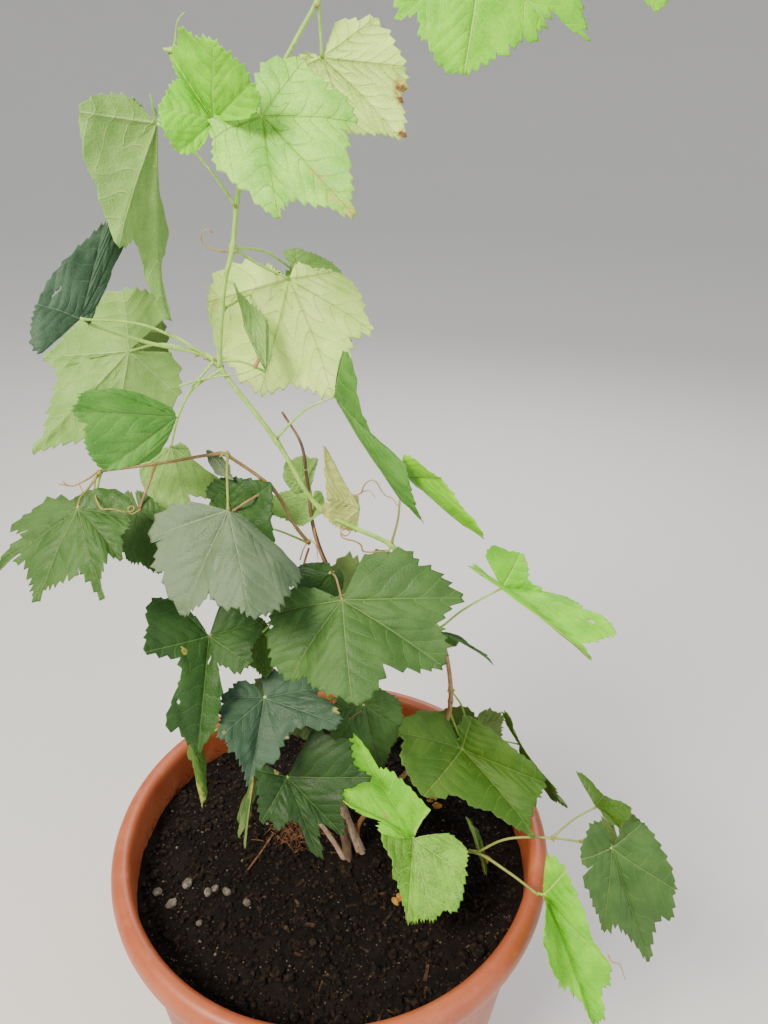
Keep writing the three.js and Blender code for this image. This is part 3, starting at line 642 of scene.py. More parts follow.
# piece: finish, seed, smooth or not, then heaps: how many at random or where in the picture, their
# sizes in mm, squash, rounds of subdivision, how uneven and how deep each lies in the compost
LOOSE = {
    "compost_crumbs": (CLODS, 11, False, [
        (3919, (0.7, 1.7), 0.8, 1, 0.25, 0.3), (1680, (1.5, 3.0), 0.8, 1, 0.30, 0.35),
        (150, (2.8, 5.0), 0.7, 2, 0.17, 0.45)]),
    "pale_grit": (PEBBLE, 12, True, [
        (GRIT_SPOTS, (3.2, 5.2), 0.75, 2, 0.12, 0.45), (26, (0.9, 2.0), 0.75, 2, 0.13, 0.4)]),
    "wood_flecks": (WOOD_FLECK, 14, False, [(1500, (0.35, 0.95), 0.55, 1, 0.35, 0.2)]),
    "dry_leaf_scraps": (DRY_SCRAP, 15, False, [(SCRAP_SPOTS, (3.2, 5.0), 0.25, 2, 0.12, -0.4)]),
}


def build_loose(name, finish, seed, smooth, heaps):
    rng = random.Random(seed)
    bm = bmesh.new()
    for where, *shape in heaps:
        spots = round_spots(rng, where) if isinstance(where, int) else [soil_spot(u, v) for u, v in where]
        scatter(bm, rng, spots, *shape)
    if smooth:
        all_smooth(bm)
    finished_piece(name, bm, [finish], turn_outward=False)


def build_chips():
    rng = random.Random(13)
    bm = bmesh.new()
    for x, y in round_spots(rng, CHIP_COUNT):
        made = bmesh.ops.create_cube(bm, size=1.0)["verts"]
        length, width = rng.uniform(4, 13), rng.uniform(1.5, 4)
        shape = Matrix.Diagonal((length * MM, width * MM, rng.uniform(0.8, 1.8) * MM))
        tilt = (Matrix.Rotation(rng.uniform(-0.35, 0.35), 3, "X")
                @ Matrix.Rotation(rng.uniform(-0.3, 0.3), 3, "Y"))
        turn = Matrix.Rotation(rng.uniform(0, 2 * pi), 3, "Z")
        for vert in made:
            taper = Vector((1, 1 - 0.4 * rng.random(), 1 - 0.3 * rng.random()))
            vert.co = turn @ tilt @ shape @ Vector(a * b for a, b in zip(vert.co, taper))
            vert.co += Vector((x, y, soil_height(x, y) + 1.0 * MM))
    bmesh.ops.bevel(bm, geom=bm.edges[:], offset=0.25 * MM, segments=1, profile=0.5,
                    affect="EDGES", material=-1)
    finished_piece("bark_chips", bm, [BARK_CHIP], turn_outward=False)


for name, loose in LOOSE.items():
    build_loose(name, *loose)
build_chips()

# %% [markdown]
# The old trunk and the shoots carry everything else. Each follows its plain solid, apart from
# the cut stub and the feet of the main shoot and of the low right shoot, which lie up to 17 mm
# aside. Old wood shows ridges and loose strips of bark, worked out from noise that is stretched
# along the stem; a green shoot swells into a knot where each leaf stalk springs.

# %% The trunk and the shoots
LIMBS = {
    "trunk": ((4.1, 3.4), [(366, 862, -8), (344, 811, -4), (340, 760, 2), (338, 690, 6), (335, 630, 9),
                           (331, 573, 10)]),
    "old_cane": ((1.8, 0.9), [(331, 573, 10), (325, 561, 11), (314, 530, 12), (307, 480, 12),
                              (301, 444, 14), (282, 412, 16)]),
    "main_shoot_low": ((2.3, 1.9), [(358, 852, -3), (359, 824, 1), (384, 796, 4), (447, 720, 8),
                                    (444, 645, 8), (438, 631, 8)]),
    "main_shoot_middle": ((1.85, 1.65), [(438, 631, 8), (420, 590, 6), (399, 555, 4), (391, 545, 3),
                                       (320, 508, 0), (277, 442, -1), (219, 367, 0)]),
    "main_shoot_top": ((1.8, 1.3), [(219, 367, 0), (221, 320, 0), (225, 280, 1), (232, 251, 1),
                                    (239, 187, 4), (256, 120, 8), (283, 64, 6), (318, 0, 0)]),
    "main_shoot_tip": ((1.5, 1.0), [(318, 0, 0), (360, -52, -6), (420, -84, -12), (500, -92, -16),
                                    (570, -88, -14), (626, -78, -12)]),
    "brown_shoot": ((1.5, 1.0), [(309, 543, 12), (296, 527, 4), (272, 488, -4), (233, 459, -7),
                                 (225, 454, -8), (216, 454, -8), (155, 464, -12), (101, 471, -18)]),
    "left_shoot": ((1.5, 1.0), [(219, 365, 0), (208, 356, -1), (149, 343, -8), (88, 324, -26)]),
    "low_right_shoot": ((1.6, 1.1), [(364, 858, 0), (386, 858, -3), (404, 856, -16), (440, 853, -32),
                                     (476, 853, -46), (508, 872, -62), (537, 894, -81)]),
    "low_right_branch": ((1.1, 0.9), [(476, 853, -46), (507, 839, -52), (552, 838, -58), (583, 842, -62)]),
    "cut_stub_left": ((2.6, 2.1), [(346, 862, -14), (336, 845, -12), (320, 823, -10)]),
}
PATH_STEP = 2.2 * MM
ROOT_FLARE = 0.10
ROOT_FLARE_HEIGHT = 22 * MM
KNOT_SWELL = 0.34
KNOT_LENGTH = 3.0 * MM

limb_paths = {name: smooth_path([place(*spot) for spot in spots], PATH_STEP)
              for name, (_, spots) in LIMBS.items()}


def limb_radius(name, knots, barked):
    (thick, thin), _ = LIMBS[name]
    path = limb_paths[name]
    run = distances(path)
    whole = run[-1]
    seed = 7.3 * len(name)

    def radius_at(distance, turn):
        share = distance / whole
        radius = (thick + (thin - thick) * share) * MM
        if name == "trunk":
            height = max(trunk_height(distance) - SOIL_TOP, 0)
            radius *= 1 + ROOT_FLARE * exp(-height / ROOT_FLARE_HEIGHT) * (1 + 0.35 * sin(3 * turn + 0.6))
        swells = [exp(-((distance - knot) / KNOT_LENGTH) ** 2) for knot in knots]
        radius *= 1 + KNOT_SWELL * max(swells, default=0)
        if barked:
            round_spot = Vector((cos(turn) * 1.6, sin(turn) * 1.6, distance * 34 + seed))
            strips = Vector((cos(turn) * 5, sin(turn) * 5, distance * 60 + seed))
            radius *= 1 + 0.16 * noise.noise(round_spot) + 0.13 * noise.noise(strips)
        else:
            radius *= 1 + 0.03 * cos(5 * turn + distance * 40)
        return radius

    return radius_at


def trunk_height(distance):
    path = limb_paths["trunk"]
    run = distances(path)
    index = min(range(len(run)), key=lambda k: abs(run[k] - distance))
    return path[index].z


def nearest_on(name, point):
    path = limb_paths[name]
    run = distances(path)
    index = min(range(len(path)), key=lambda k: (path[k] - point).length)
    return run[index], path[index], (path[index] - point).length


print("limb lengths in mm:", {name: round(distances(path)[-1] / MM) for name, path in limb_paths.items()})

# %% [markdown]
# Now the leaves. Each one is described by where its stalk joins the blade, its tip, its four
# other lobe tips and the place on a shoot that its stalk springs from. "top" means that the
# camera sees its glossy upper side, "under" its pale felted underside.
# Left and right are as seen looking from the joint to the tip.

# %% The leaves' places
LEAVES = [
    # name, tone (the painted light on it), side that shows, joint, tip, left, right, left base, right base,
    # stalk springs from
    ("arch_leaf", "sunlit", "top", (482, -52, -30), (464, 74, -52), (572, 60, -30),
     (399, 22, -44), (566, -32, -20), (406, -48, -31), (486, -78, -18)),
    ("arch_end_leaf", "sunlit", "top", (632, -62, -18), (656, 12, -30), (690, -22, -20),
     (618, -18, -26), (672, -72, -14), (600, -66, -19), (622, -84, -12)),
    ("upper_leaf", "bright", "top", (262, 116, -22), (354, 216, -62), (357, 122, -30),
     (280, 220, -52), (303, 67, -10), (213, 140, -26), (240, 182, 0)),
    ("tip_leaf", "bright", "under", (322, 57, 6), (401, 138, -4), (402, 66, -12),
     (346, 132, 10), (372, 17, -3), (290, 72, 14), (318, 2, -2)),
    ("young_leaf", "sunlit", "top", (214, 121, -20), (168, 50, -8), (159, 110, -34),
     (218, 39, -46), (178, 154, -36), (254, 80, -45), (243, 160, 2)),
    ("hanging_left_leaf", "pale_lit", "under", (157, 123, -8), (167, 320, 8), (171, 235, 40),
     (119, 247, -22), (162, 110, 21), (80, 112, -26), (237, 205, 2)),
    ("dark_left_leaf", "dark_blue", "top", (80, 319, -32), (104, 224, 10), (37, 305, -40),
     (117, 236, 12), (42, 355, -57), (94, 306, -18), (208, 356, 0)),
    ("broad_left_leaf", "pale_lit", "under", (129, 351, 12), (32, 451, -8), (112, 440, -4),
     (43, 357, 16), (178, 396, 9), (122, 291, 24), (197, 364, 2)),
    ("left_low_leaf", "fresh", "top", (177, 417, -30), (74, 412, -62), (106, 470, -66),
     (100, 390, -46), (160, 452, -43), (163, 407, -28), (213, 362, -2)),
    ("middle_leaf", "bright", "under", (289, 279, 22), (334, 396, 12), (371, 330, 14),
     (259, 393, 30), (332, 272, 20), (206, 303, 32), (234, 249, 2)),
    ("middle_back_leaf", "pale_lit", "top", (296, 272, 40), (344, 277, 36), (322, 258, 44),
     (320, 300, 30), (296, 249, 45), (284, 290, 34), (234, 249, 4)),
    ("slim_leaf", "pale_lit", "under", (266, 372, 6), (233, 283, 12), (243, 311, 8),
     (266, 318, 16), (258, 345, 5), (272, 350, 11), (222, 362, 0)),
    ("strip_leaf", "fresh", "top", (334, 396, -4), (422, 521, -14), (386, 447, -14),
     (386, 463, -2), (346, 351, -16), (341, 405, 12), (281, 438, -2)),
    ("brown_tip_leaf", "sunlit", "top", (407, 476, 2), (480, 538, -22), (442, 478, -22),
     (453, 500, -4), (403, 456, -12), (412, 480, 12), (394, 544, 2)),
    ("right_leaf", "sunlit", "top", (502, 588, 0), (615, 633, -32), (562, 596, 8),
     (588, 659, -48), (520, 553, 12), (474, 570, -12), (440, 631, 4)),
    ("right_small_leaf", "mid", "top", (441, 632, 4), (494, 664, -14), (470, 646, 0),
     (469, 650, -10), (450, 634, 6), (448, 645, -3), (440, 634, 4)),
    ("low_right_leaf", "olive", "top", (462, 749, -10), (536, 837, -66), (545, 783, -30),
     (424, 796, -58), (472, 716, 0), (400, 733, -21), (447, 700, 10)),
    ("edge_leaf", "olive", "top", (519, 744, 18), (567, 806, -10), (556, 785, -24),
     (543, 784, 10), (513, 716, -8), (522, 752, 34), (462, 760, 6)),
    ("far_right_small_leaf", "olive", "top", (596, 807, -48), (631, 808, -66), (604, 796, -40),
     (619, 829, -76), (576, 774, -26), (601, 814, -62), (552, 838, -58)),
    ("far_right_leaf", "mid", "top", (612, 848, -68), (648, 962, -94), (674, 888, -84),
     (602, 929, -90), (640, 822, -58), (580, 857, -74), (583, 842, -62)),
    ("rim_leaf", "sunlit", "top", (543, 895, -86), (594, 1020, -134), (611, 966, -116),
     (558, 984, -128), (566, 868, -84), (541, 920, -116), (537, 894, -81)),
    ("centre_leaf", "mid", "top", (342, 600, -52), (352, 702, -112), (442, 666, -78),
     (291, 679, -84), (461, 599, -44), (272, 615, -49), (330, 575, 6)),
    ("broad_pale_leaf", "pale_blue", "top", (228, 510, -52), (250, 616, -108), (293, 585, -66),
     (185, 616, -96), (278, 551, -37), (150, 538, -60), (226, 455, -6)),
    ("dark_behind_pale", "dark", "top", (233, 511, -18), (276, 566, -34), (272, 484, -10),
     (226, 560, -30), (224, 478, -5), (214, 520, -20), (272, 488, -4)),
    ("far_left_leaf", "mid", "top", (78, 508, -58), (104, 598, -104), (121, 560, -84),
     (42, 602, -92), (130, 522, -57), (1, 574, -63), (99, 471, -18)),
    ("left_shade_leaf", "mid", "top", (139, 510, -22), (160, 573, -54), (178, 548, -38),
     (128, 560, -44), (164, 512, -20), (120, 520, -24), (155, 464, -10)),
    ("left_pale_back_leaf", "pale_lit", "under", (171, 447, 10), (186, 512, -8), (219, 478, 8),
     (150, 497, -2), (189, 447, 16), (138, 470, 8), (219, 370, 4)),
    ("torn_leaf", "pale_blue", "under", (212, 455, -6), (233, 480, -16), (230, 466, -8),
     (216, 474, -14), (222, 456, -3), (208, 462, -8), (224, 454, -6)),
    ("left_lobed_leaf", "dark", "top", (209, 636, -40), (198, 752, -88), (250, 664, -56),
     (144, 652, -72), (262, 622, -30), (167, 598, -42), (304, 590, 2)),
    ("small_dark_leaf", "olive", "top", (261, 633, -16), (266, 678, -40), (279, 660, -26),
     (249, 664, -28), (272, 634, -13), (250, 638, -14), (302, 592, 4)),
    ("blue_leaf", "dark_blue", "top", (264, 698, -50), (249, 786, -96), (338, 724, -66),
     (219, 738, -86), (318, 690, -41), (222, 700, -56), (338, 660, 4)),
    ("front_dark_leaf", "deep", "top", (287, 777, -66), (319, 857, -104), (343, 835, -92),
     (261, 822, -92), (372, 777, -68), (249, 768, -68), (345, 790, 0)),
    ("shaded_leaf", "mid", "top", (364, 704, -6), (380, 772, -26), (402, 728, -14),
     (334, 744, -20), (398, 700, -3), (330, 712, -8), (346, 690, 6)),
    ("lit_low_leaf", "sunlit", "top", (414, 838, -62), (352, 738, -46), (342, 800, -76),
     (430, 812, -56), (379, 832, -80), (418, 832, -65), (410, 856, -19)),
    ("front_low_leaf", "spring", "top", (413, 838, -64), (434, 920, -108), (465, 876, -84),
     (407, 921, -104), (444, 833, -59), (380, 832, -74), (416, 855, -22)),
    ("curled_leaf", "mid", "under", (255, 771, -52), (245, 847, -74), (252, 808, -56),
     (237, 838, -66), (259, 778, -45), (248, 784, -53), (330, 815, -4)),
    ("light_slip_leaf", "olive", "top", (192, 742, -66), (202, 808, -92), (206, 784, -78),
     (197, 780, -78), (202, 752, -62), (188, 750, -63), (300, 700, 2)),
    ("yellow_leaf", "yellow", "under", (360, 508, 4), (325, 445, -8), (328, 497, -9),
     (344, 485, 4), (340, 528, -1), (360, 496, 9), (322, 509, 0)),
    ("pale_back_leaf", "pale_lit", "under", (312, 500, 22), (302, 526, 4), (324, 510, 12),
     (268, 512, 14), (322, 494, 23), (276, 494, 24), (305, 470, 12)),
    ("pale_back_upper_leaf", "pale_lit", "under", (302, 486, 26), (302, 456, 30), (286, 462, 24),
     (318, 459, 32), (284, 480, 23), (312, 484, 29), (306, 476, 12)),
    ("tucked_dark_leaf", "dark", "top", (330, 574, -2), (300, 612, -30), (330, 600, -20),
     (294, 580, -14), (340, 590, -3), (300, 568, 2), (328, 570, 8)),
    ("dry_leaf", "olive", "top", (478, 852, -44), (466, 817, -36), (474, 832, -45),
     (479, 831, -37), (482, 869, -50), (486, 866, -45), (470, 852, -42)),
    ("back_top_leaf", "fresh", "under", (290, 110, 34), (290, 196, 74), (330, 165, 58),
     (250, 165, 58), (325, 112, 34), (252, 118, 34), (246, 150, 6)),
    ("back_arch_leaf", "sunlit", "under", (484, -58, 6), (470, 44, 24), (530, 10, 14),
     (420, 8, 16), (540, -40, 5), (430, -45, 6), (440, -87, -13)),
    ("back_middle_leaf", "fresh", "under", (285, 300, 71), (300, 378, 115), (348, 345, 86),
     (240, 350, 97), (340, 295, 63), (228, 300, 71), (222, 310, 1)),
    ("back_left_leaf", "mid", "under", (130, 330, 53), (80, 400, 89), (125, 420, 79),
     (70, 345, 76), (160, 385, 55), (105, 305, 54), (219, 366, 1)),
    ("back_shoulder_leaf", "fresh", "under", (235, 530, 40), (215, 600, 94), (262, 580, 74),
     (178, 570, 79), (270, 530, 41), (190, 528, 45), (309, 543, 11)),
    ("back_centre_leaf", "mid", "under", (365, 590, 40), (378, 664, 107), (430, 640, 79),
     (310, 655, 81), (430, 590, 38), (305, 610, 41), (334, 600, 10)),
    ("back_low_leaf", "olive", "under", (470, 735, 40), (440, 752, 105), (500, 745, 74),
     (415, 745, 94), (505, 722, 36), (430, 720, 51), (444, 690, 8)),
    ("back_low_left_leaf", "dark", "under", (285, 700, 29), (266, 742, 100), (312, 745, 74),
     (240, 735, 74), (318, 705, 31), (240, 700, 31), (337, 670, 7)),
    ("back_far_left_leaf", "mid", "under", (95, 515, -20), (85, 570, 14), (125, 545, 0),
     (48, 548, 2), (130, 515, -20), (60, 512, -19), (101, 471, -18)),
    ("back_foot_leaf", "dark", "under", (365, 715, 40), (369, 754, 112), (395, 745, 86),
     (342, 745, 86), (392, 715, 42), (338, 718, 42), (340, 740, 4)),
    ("back_high_small_leaf", "pale_lit", "under", (318, 138, 14), (330, 194, 36), (349, 166, 24),
     (300, 172, 28), (335, 134, 12), (304, 139, 14), (257, 118, 8)),
    ("back_side_small_leaf", "fresh", "under", (405, 604, 22), (412, 662, 44), (438, 636, 30),
     (392, 644, 34), (426, 600, 20), (390, 604, 22), (424, 600, 7)),
    ("back_rim_leaf", "olive", "under", (622, 852, -40), (640, 930, -34), (662, 885, -40),
     (605, 905, -36), (650, 835, -43), (592, 852, -40), (583, 842, -62)),
]
print("leaves:", len(LEAVES))

# %% [markdown]
# The outline comes first. A vine leaf has five lobes with shallow bays between them, and pointed
# teeth all along its edge that lean towards the nearest lobe tip. On a unit leaf, whose midrib
# is 1 long, the corners of the outline are given by angle and reach. Leaves that hide behind
# others share one even outline; each leaf that shows has its own, in degrees and hundredths.
# Teeth are then set along each straight run, so no two leaves have quite the same edge.

# %% The leaves' outlines
SIDE_ANGLE, SIDE_REACH = 50, 0.86
BASE_ANGLE, BASE_REACH = 104, 0.66
HEEL_ANGLE = 160
VEIN_ANGLES = (-BASE_ANGLE, -SIDE_ANGLE, 0, SIDE_ANGLE, BASE_ANGLE)
CORNERS = [(0, 1.0), (26, 0.79), (50, 0.86), (78, 0.68), (104, 0.66), (136, 0.53), (158, 0.44), (171, 0.27)]
OUTLINES = {
    "hanging_left_leaf": [(-171, 10), (-158, 12), (-136, 20), (-104, 50), (-78, 60), (-50, 86), (-25, 80),
        (0, 100), (6.1, 87), (15.6, 72), (26.6, 66), (36.6, 66), (50.1, 86), (58.1, 79), (72.6, 71),
        (82.1, 72), (92.6, 69), (104.1, 66), (110.6, 57), (118.1, 40), (126.6, 24), (127.1, 12)],
    "young_leaf": [(-131.1, 18), (-127.1, 39), (-117.6, 56), (-104.1, 66), (-85.1, 71), (-65.1, 79),
        (-50.1, 86), (-38.1, 77), (-9.1, 63), (-2.6, 80), (0, 100), (11.1, 89), (22.6, 103), (32.1, 87),
        (50.1, 86), (73.1, 71), (82.6, 70), (104.1, 66), (118.6, 71), (128.6, 69), (133.1, 52)],
    "upper_leaf": [(-156.1, 11), (-145.6, 26), (-137.6, 39), (-131.1, 48), (-116.6, 58), (-104.1, 66),
        (-89.1, 65), (-81.1, 68), (-73.6, 66), (-68.1, 75), (-62.1, 80), (-50.1, 86), (-43.6, 70),
        (-35.6, 77), (-30.1, 75), (-17.6, 82), (-4.1, 92), (0, 100), (10.1, 84), (22.6, 74), (29.6, 70),
        (43.1, 71), (47.6, 77), (50.1, 86), (60.6, 83), (68.1, 77), (77.1, 80), (84.6, 79), (91.1, 81),
        (99.6, 70), (104.1, 66), (117.1, 50), (132.6, 32), (136.6, 18), (137.1, 5)],
    "tip_leaf": [(-138.6, 16), (-138.1, 30), (-133.6, 46), (-114.1, 53), (-104.1, 66), (-92.6, 65),
        (-82.1, 69), (-70.1, 71), (-50.1, 86), (-39.1, 85), (-27.6, 80), (-20.1, 82), (-8.1, 93), (0, 100),
        (10.6, 87), (31.1, 83), (50.1, 86), (62.6, 79), (80.6, 75), (97.1, 68), (108.6, 59), (113.1, 37),
        (118.1, 15)],
    "dark_left_leaf": [(-105.6, 10), (-105.1, 28), (-104.6, 49), (-104.1, 66), (-89.1, 77), (-71.1, 82),
        (-50.1, 86), (-37.1, 94), (-23.1, 93), (-10.6, 95), (0, 100), (9.1, 88), (50.1, 86), (74.1, 106),
        (74.6, 77), (97.1, 90), (104.1, 66), (113.6, 54), (118.6, 36)],
    "broad_left_leaf": [(-140.1, 24), (-133.1, 41), (-118.1, 53), (-104.1, 66), (-90.1, 67), (-68.6, 73),
        (-50.1, 86), (-29.6, 77), (-12.6, 84), (0, 100), (0.6, 89), (12.6, 77), (27.1, 71), (35.1, 68),
        (43.1, 69), (50.1, 86), (60.6, 79), (75.6, 75), (89.6, 74), (104.1, 66), (118.6, 56), (145.1, 42),
        (174.6, 33)],
    "left_low_leaf": [(-105.6, 21), (-105.1, 33), (-104.6, 45), (-104.1, 66), (-90.6, 73), (-68.1, 75),
        (-50.1, 86), (-41.1, 88), (-30.6, 89), (-20.6, 89), (-8.6, 87), (0, 100), (14.1, 93), (41.6, 91),
        (50.1, 86), (76.1, 91), (97.1, 115), (101.1, 97), (104.1, 66), (104.6, 32)],
    "middle_leaf": [(-136.6, 19), (-126.6, 34), (-112.1, 42), (-104.1, 66), (-96.6, 76), (-85.1, 79),
        (-66.1, 77), (-50.1, 86), (-44.6, 77), (-34.1, 69), (-26.6, 74), (-15.1, 80), (-4.1, 94), (0, 100),
        (4.1, 94), (16.1, 82), (31.1, 77), (45.1, 85), (50.1, 86), (58.1, 84), (67.1, 81), (79.1, 77),
        (90.6, 72), (104.1, 66), (115.1, 58), (125.6, 48), (131.6, 37), (132.1, 20), (132.6, 8)],
    "middle_back_leaf": [(-140.6, 34), (-133.1, 62), (-104.1, 66), (-75.6, 67), (-50.1, 86), (-23.6, 89),
        (0, 100), (23.6, 90), (50.1, 86), (76.6, 71), (104.1, 66), (120.6, 39)],
    "slim_leaf": [(-11.1, 15), (-10.6, 30), (-10.1, 40), (-9.6, 54), (-9.1, 68), (-3.1, 84), (0, 100),
        (6.1, 88), (26.1, 82), (50.1, 86), (85.1, 78), (104.1, 66), (111.1, 39)],
    "strip_leaf": [(-108.1, 15), (-107.6, 35), (-107.1, 58), (-104.1, 66), (-98.1, 73), (-90.6, 71),
        (-80.1, 61), (-64.1, 57), (-52.1, 63), (-51.6, 89), (-51.1, 120), (-43.6, 112), (-33.6, 104),
        (-19.6, 98), (0, 100), (0.6, 89), (33.6, 88), (51.1, 87), (51.6, 56), (52.1, 24), (57.1, 12),
        (57.6, 3)],
    "brown_tip_leaf": [(-104.6, 33), (-104.1, 66), (-96.6, 81), (-85.6, 85), (-67.6, 83), (-50.1, 86),
        (-37.6, 92), (-27.6, 94), (-18.1, 105), (-11.6, 108), (0, 100), (11.6, 94), (33.1, 99), (50.1, 86),
        (80.6, 75), (104.1, 67)],
    "yellow_leaf": [(-150.6, 14), (-150.1, 48), (-104.1, 66), (-84.1, 82), (-68.6, 98), (-58.6, 73),
        (-50.1, 86), (-32.1, 83), (-15.1, 90), (0, 100), (0.6, 81), (50.1, 86), (61.6, 52), (104.1, 66)],
    "far_left_leaf": [(-163.6, 7), (-157.1, 21), (-152.6, 41), (-145.1, 58), (-138.6, 71), (-125.6, 73),
        (-104.1, 66), (-69.6, 63), (-61.1, 72), (-50.1, 86), (-45.1, 76), (-39.1, 67), (-23.6, 71),
        (-7.1, 81), (-0.6, 88), (0, 100), (2.1, 90), (5.1, 77), (11.1, 58), (16.1, 67), (23.1, 62),
        (29.1, 67), (42.6, 70), (46.1, 75), (50.1, 86), (54.6, 74), (60.6, 61), (71.1, 52), (82.6, 46),
        (89.1, 50), (98.6, 37), (99.1, 55), (104.1, 66), (115.1, 49), (121.6, 41), (128.6, 36), (140.6, 54),
        (148.1, 48), (153.1, 42), (164.1, 36), (172.1, 27), (174.6, 17)],
    "broad_pale_leaf": [(-120.1, 12), (-108.6, 24), (-104.6, 45), (-104.1, 66), (-102.1, 79), (-90.1, 81),
        (-50.1, 86), (-43.1, 82), (-37.1, 87), (-29.1, 86), (-17.1, 94), (-8.6, 98), (0, 100), (5.1, 87),
        (17.6, 80), (29.6, 63), (33.1, 72), (42.6, 79), (50.1, 86), (58.6, 79), (68.6, 73), (75.6, 66),
        (81.1, 70), (92.6, 61), (97.1, 53), (104.1, 66), (115.6, 61), (123.1, 52), (124.1, 36), (128.6, 20)],
    "centre_leaf": [(-174.6, 41), (-171.6, 51), (-161.1, 56), (-155.1, 64), (-140.1, 56), (-133.6, 60),
        (-115.6, 61), (-104.1, 66), (-95.1, 59), (-85.6, 57), (-73.6, 56), (-68.6, 62), (-58.1, 75),
        (-50.1, 86), (-38.6, 79), (-31.1, 75), (-19.1, 68), (-13.6, 82), (-6.1, 98), (0, 100), (7.1, 93),
        (22.1, 84), (33.6, 75), (40.1, 75), (50.1, 86), (61.6, 83), (74.1, 74), (83.6, 73), (91.6, 64),
        (104.1, 66), (117.6, 61), (128.1, 48), (130.6, 31), (131.1, 16)],
    "right_small_leaf": [(-103.6, 65), (-69.6, 72), (-53.6, 88), (-52.6, 120), (-18.6, 88), (0, 100),
        (0.6, 76), (1.1, 54), (71.6, 61), (104.1, 66)],
    "right_leaf": [(-152.6, 15), (-152.1, 37), (-147.6, 49), (-134.1, 62), (-116.1, 60), (-104.1, 66),
        (-95.6, 62), (-78.1, 43), (-63.1, 43), (-51.1, 55), (-50.6, 70), (-50.1, 86), (-21.6, 76),
        (-18.1, 93), (0, 100), (14.1, 84), (42.1, 72), (50.6, 87), (73.1, 144), (78.1, 145), (81.6, 145),
        (87.1, 145), (92.1, 145), (105.1, 62), (128.1, 27), (128.6, 16)],
    "low_right_leaf": [(-120.1, 30), (-111.6, 48), (-108.6, 62), (-104.1, 66), (-95.6, 71), (-89.1, 75),
        (-82.6, 77), (-78.1, 79), (-72.6, 81), (-68.6, 85), (-65.1, 89), (-60.1, 87), (-55.6, 89),
        (-50.1, 86), (-41.6, 81), (-30.6, 77), (-17.6, 77), (-6.6, 82), (-1.1, 91), (0, 100), (4.6, 93),
        (9.1, 89), (14.1, 85), (18.1, 78), (23.6, 78), (27.6, 78), (31.1, 72), (36.1, 71), (40.6, 72),
        (43.1, 80), (46.6, 82), (50.1, 86), (57.1, 84), (64.6, 83), (72.6, 81), (78.6, 80), (86.6, 72),
        (95.6, 65), (104.1, 66), (114.6, 64), (130.1, 56), (145.6, 51), (156.1, 44), (173.1, 42),
        (174.6, 30)],
    "edge_leaf": [(-164.1, 7), (-140.6, 20), (-125.6, 41), (-109.6, 67), (-104.1, 66), (-103.6, 25),
        (-75.1, 29), (-61.6, 48), (-51.6, 63), (-49.1, 85), (-13.6, 81), (0, 100), (13.6, 90), (43.1, 96),
        (50.1, 86), (50.6, 66), (51.1, 39), (103.6, 64)],
    "far_right_small_leaf": [(-105.6, 13), (-105.1, 33), (-104.6, 52), (-104.1, 66), (-82.1, 83),
        (-70.6, 85), (-60.1, 78), (-50.1, 86), (-28.1, 80), (-13.1, 94), (0, 100), (23.1, 95), (31.1, 85),
        (50.1, 86), (93.6, 126), (100.1, 105), (103.6, 65)],
    "far_right_leaf": [(-121.1, 8), (-120.6, 21), (-120.1, 32), (-118.1, 43), (-110.6, 56), (-104.1, 66),
        (-96.6, 72), (-90.1, 73), (-81.6, 75), (-73.1, 78), (-64.6, 83), (-56.1, 85), (-50.1, 86),
        (-46.6, 84), (-40.6, 86), (-36.1, 87), (-30.6, 76), (-21.6, 74), (-14.6, 78), (-7.1, 87), (-3.1, 97),
        (0, 100), (1.1, 93), (6.6, 85), (11.6, 76), (20.1, 70), (26.6, 67), (34.1, 65), (41.1, 69),
        (46.1, 80), (50.1, 86), (53.6, 81), (61.1, 75), (68.1, 74), (75.6, 71), (82.1, 70), (89.1, 75),
        (89.6, 65), (90.1, 52), (90.6, 38), (95.1, 49), (98.1, 61), (104.1, 66), (109.1, 64), (117.6, 59),
        (125.6, 51), (136.1, 47), (146.1, 41), (160.6, 31), (168.6, 23), (169.1, 15), (169.6, 9)],
    "rim_leaf": [(-125.6, 18), (-125.1, 32), (-124.1, 47), (-118.6, 57), (-111.1, 65), (-104.1, 66),
        (-96.6, 66), (-88.6, 66), (-83.6, 67), (-74.1, 65), (-63.6, 64), (-57.6, 64), (-55.6, 74),
        (-50.1, 86), (-45.6, 84), (-40.1, 84), (-28.1, 79), (-21.1, 81), (-13.1, 90), (-7.1, 96), (0, 100),
        (7.1, 98), (11.1, 93), (17.1, 86), (21.1, 81), (31.1, 80), (37.6, 81), (42.6, 80), (50.1, 86),
        (75.6, 102), (91.6, 122), (93.1, 114), (96.6, 105), (101.6, 93), (104.1, 66), (108.6, 39)],
    "left_lobed_leaf": [(-174.6, 51), (-164.1, 41), (-163.6, 51), (-146.6, 50), (-126.1, 54), (-104.1, 66),
        (-77.1, 68), (-63.1, 70), (-50.1, 86), (-46.6, 81), (-40.1, 56), (-30.6, 36), (-30.1, 39),
        (-28.6, 48), (-28.1, 62), (-23.1, 72), (-19.1, 83), (-15.6, 91), (-11.1, 93), (-4.6, 96), (0, 100),
        (5.6, 99), (9.6, 98), (14.6, 95), (19.6, 106), (21.6, 101), (22.1, 87), (22.6, 74), (24.6, 61),
        (32.1, 54), (39.6, 49), (44.6, 62), (48.1, 74), (50.1, 86), (59.1, 82), (71.1, 79), (81.6, 83),
        (91.6, 81), (98.1, 75), (98.6, 67), (104.1, 66), (104.6, 56), (105.1, 46), (105.6, 30), (106.1, 13)],
    "blue_leaf": [(-174.6, 33), (-167.1, 46), (-160.6, 54), (-143.1, 50), (-130.6, 53), (-127.1, 66),
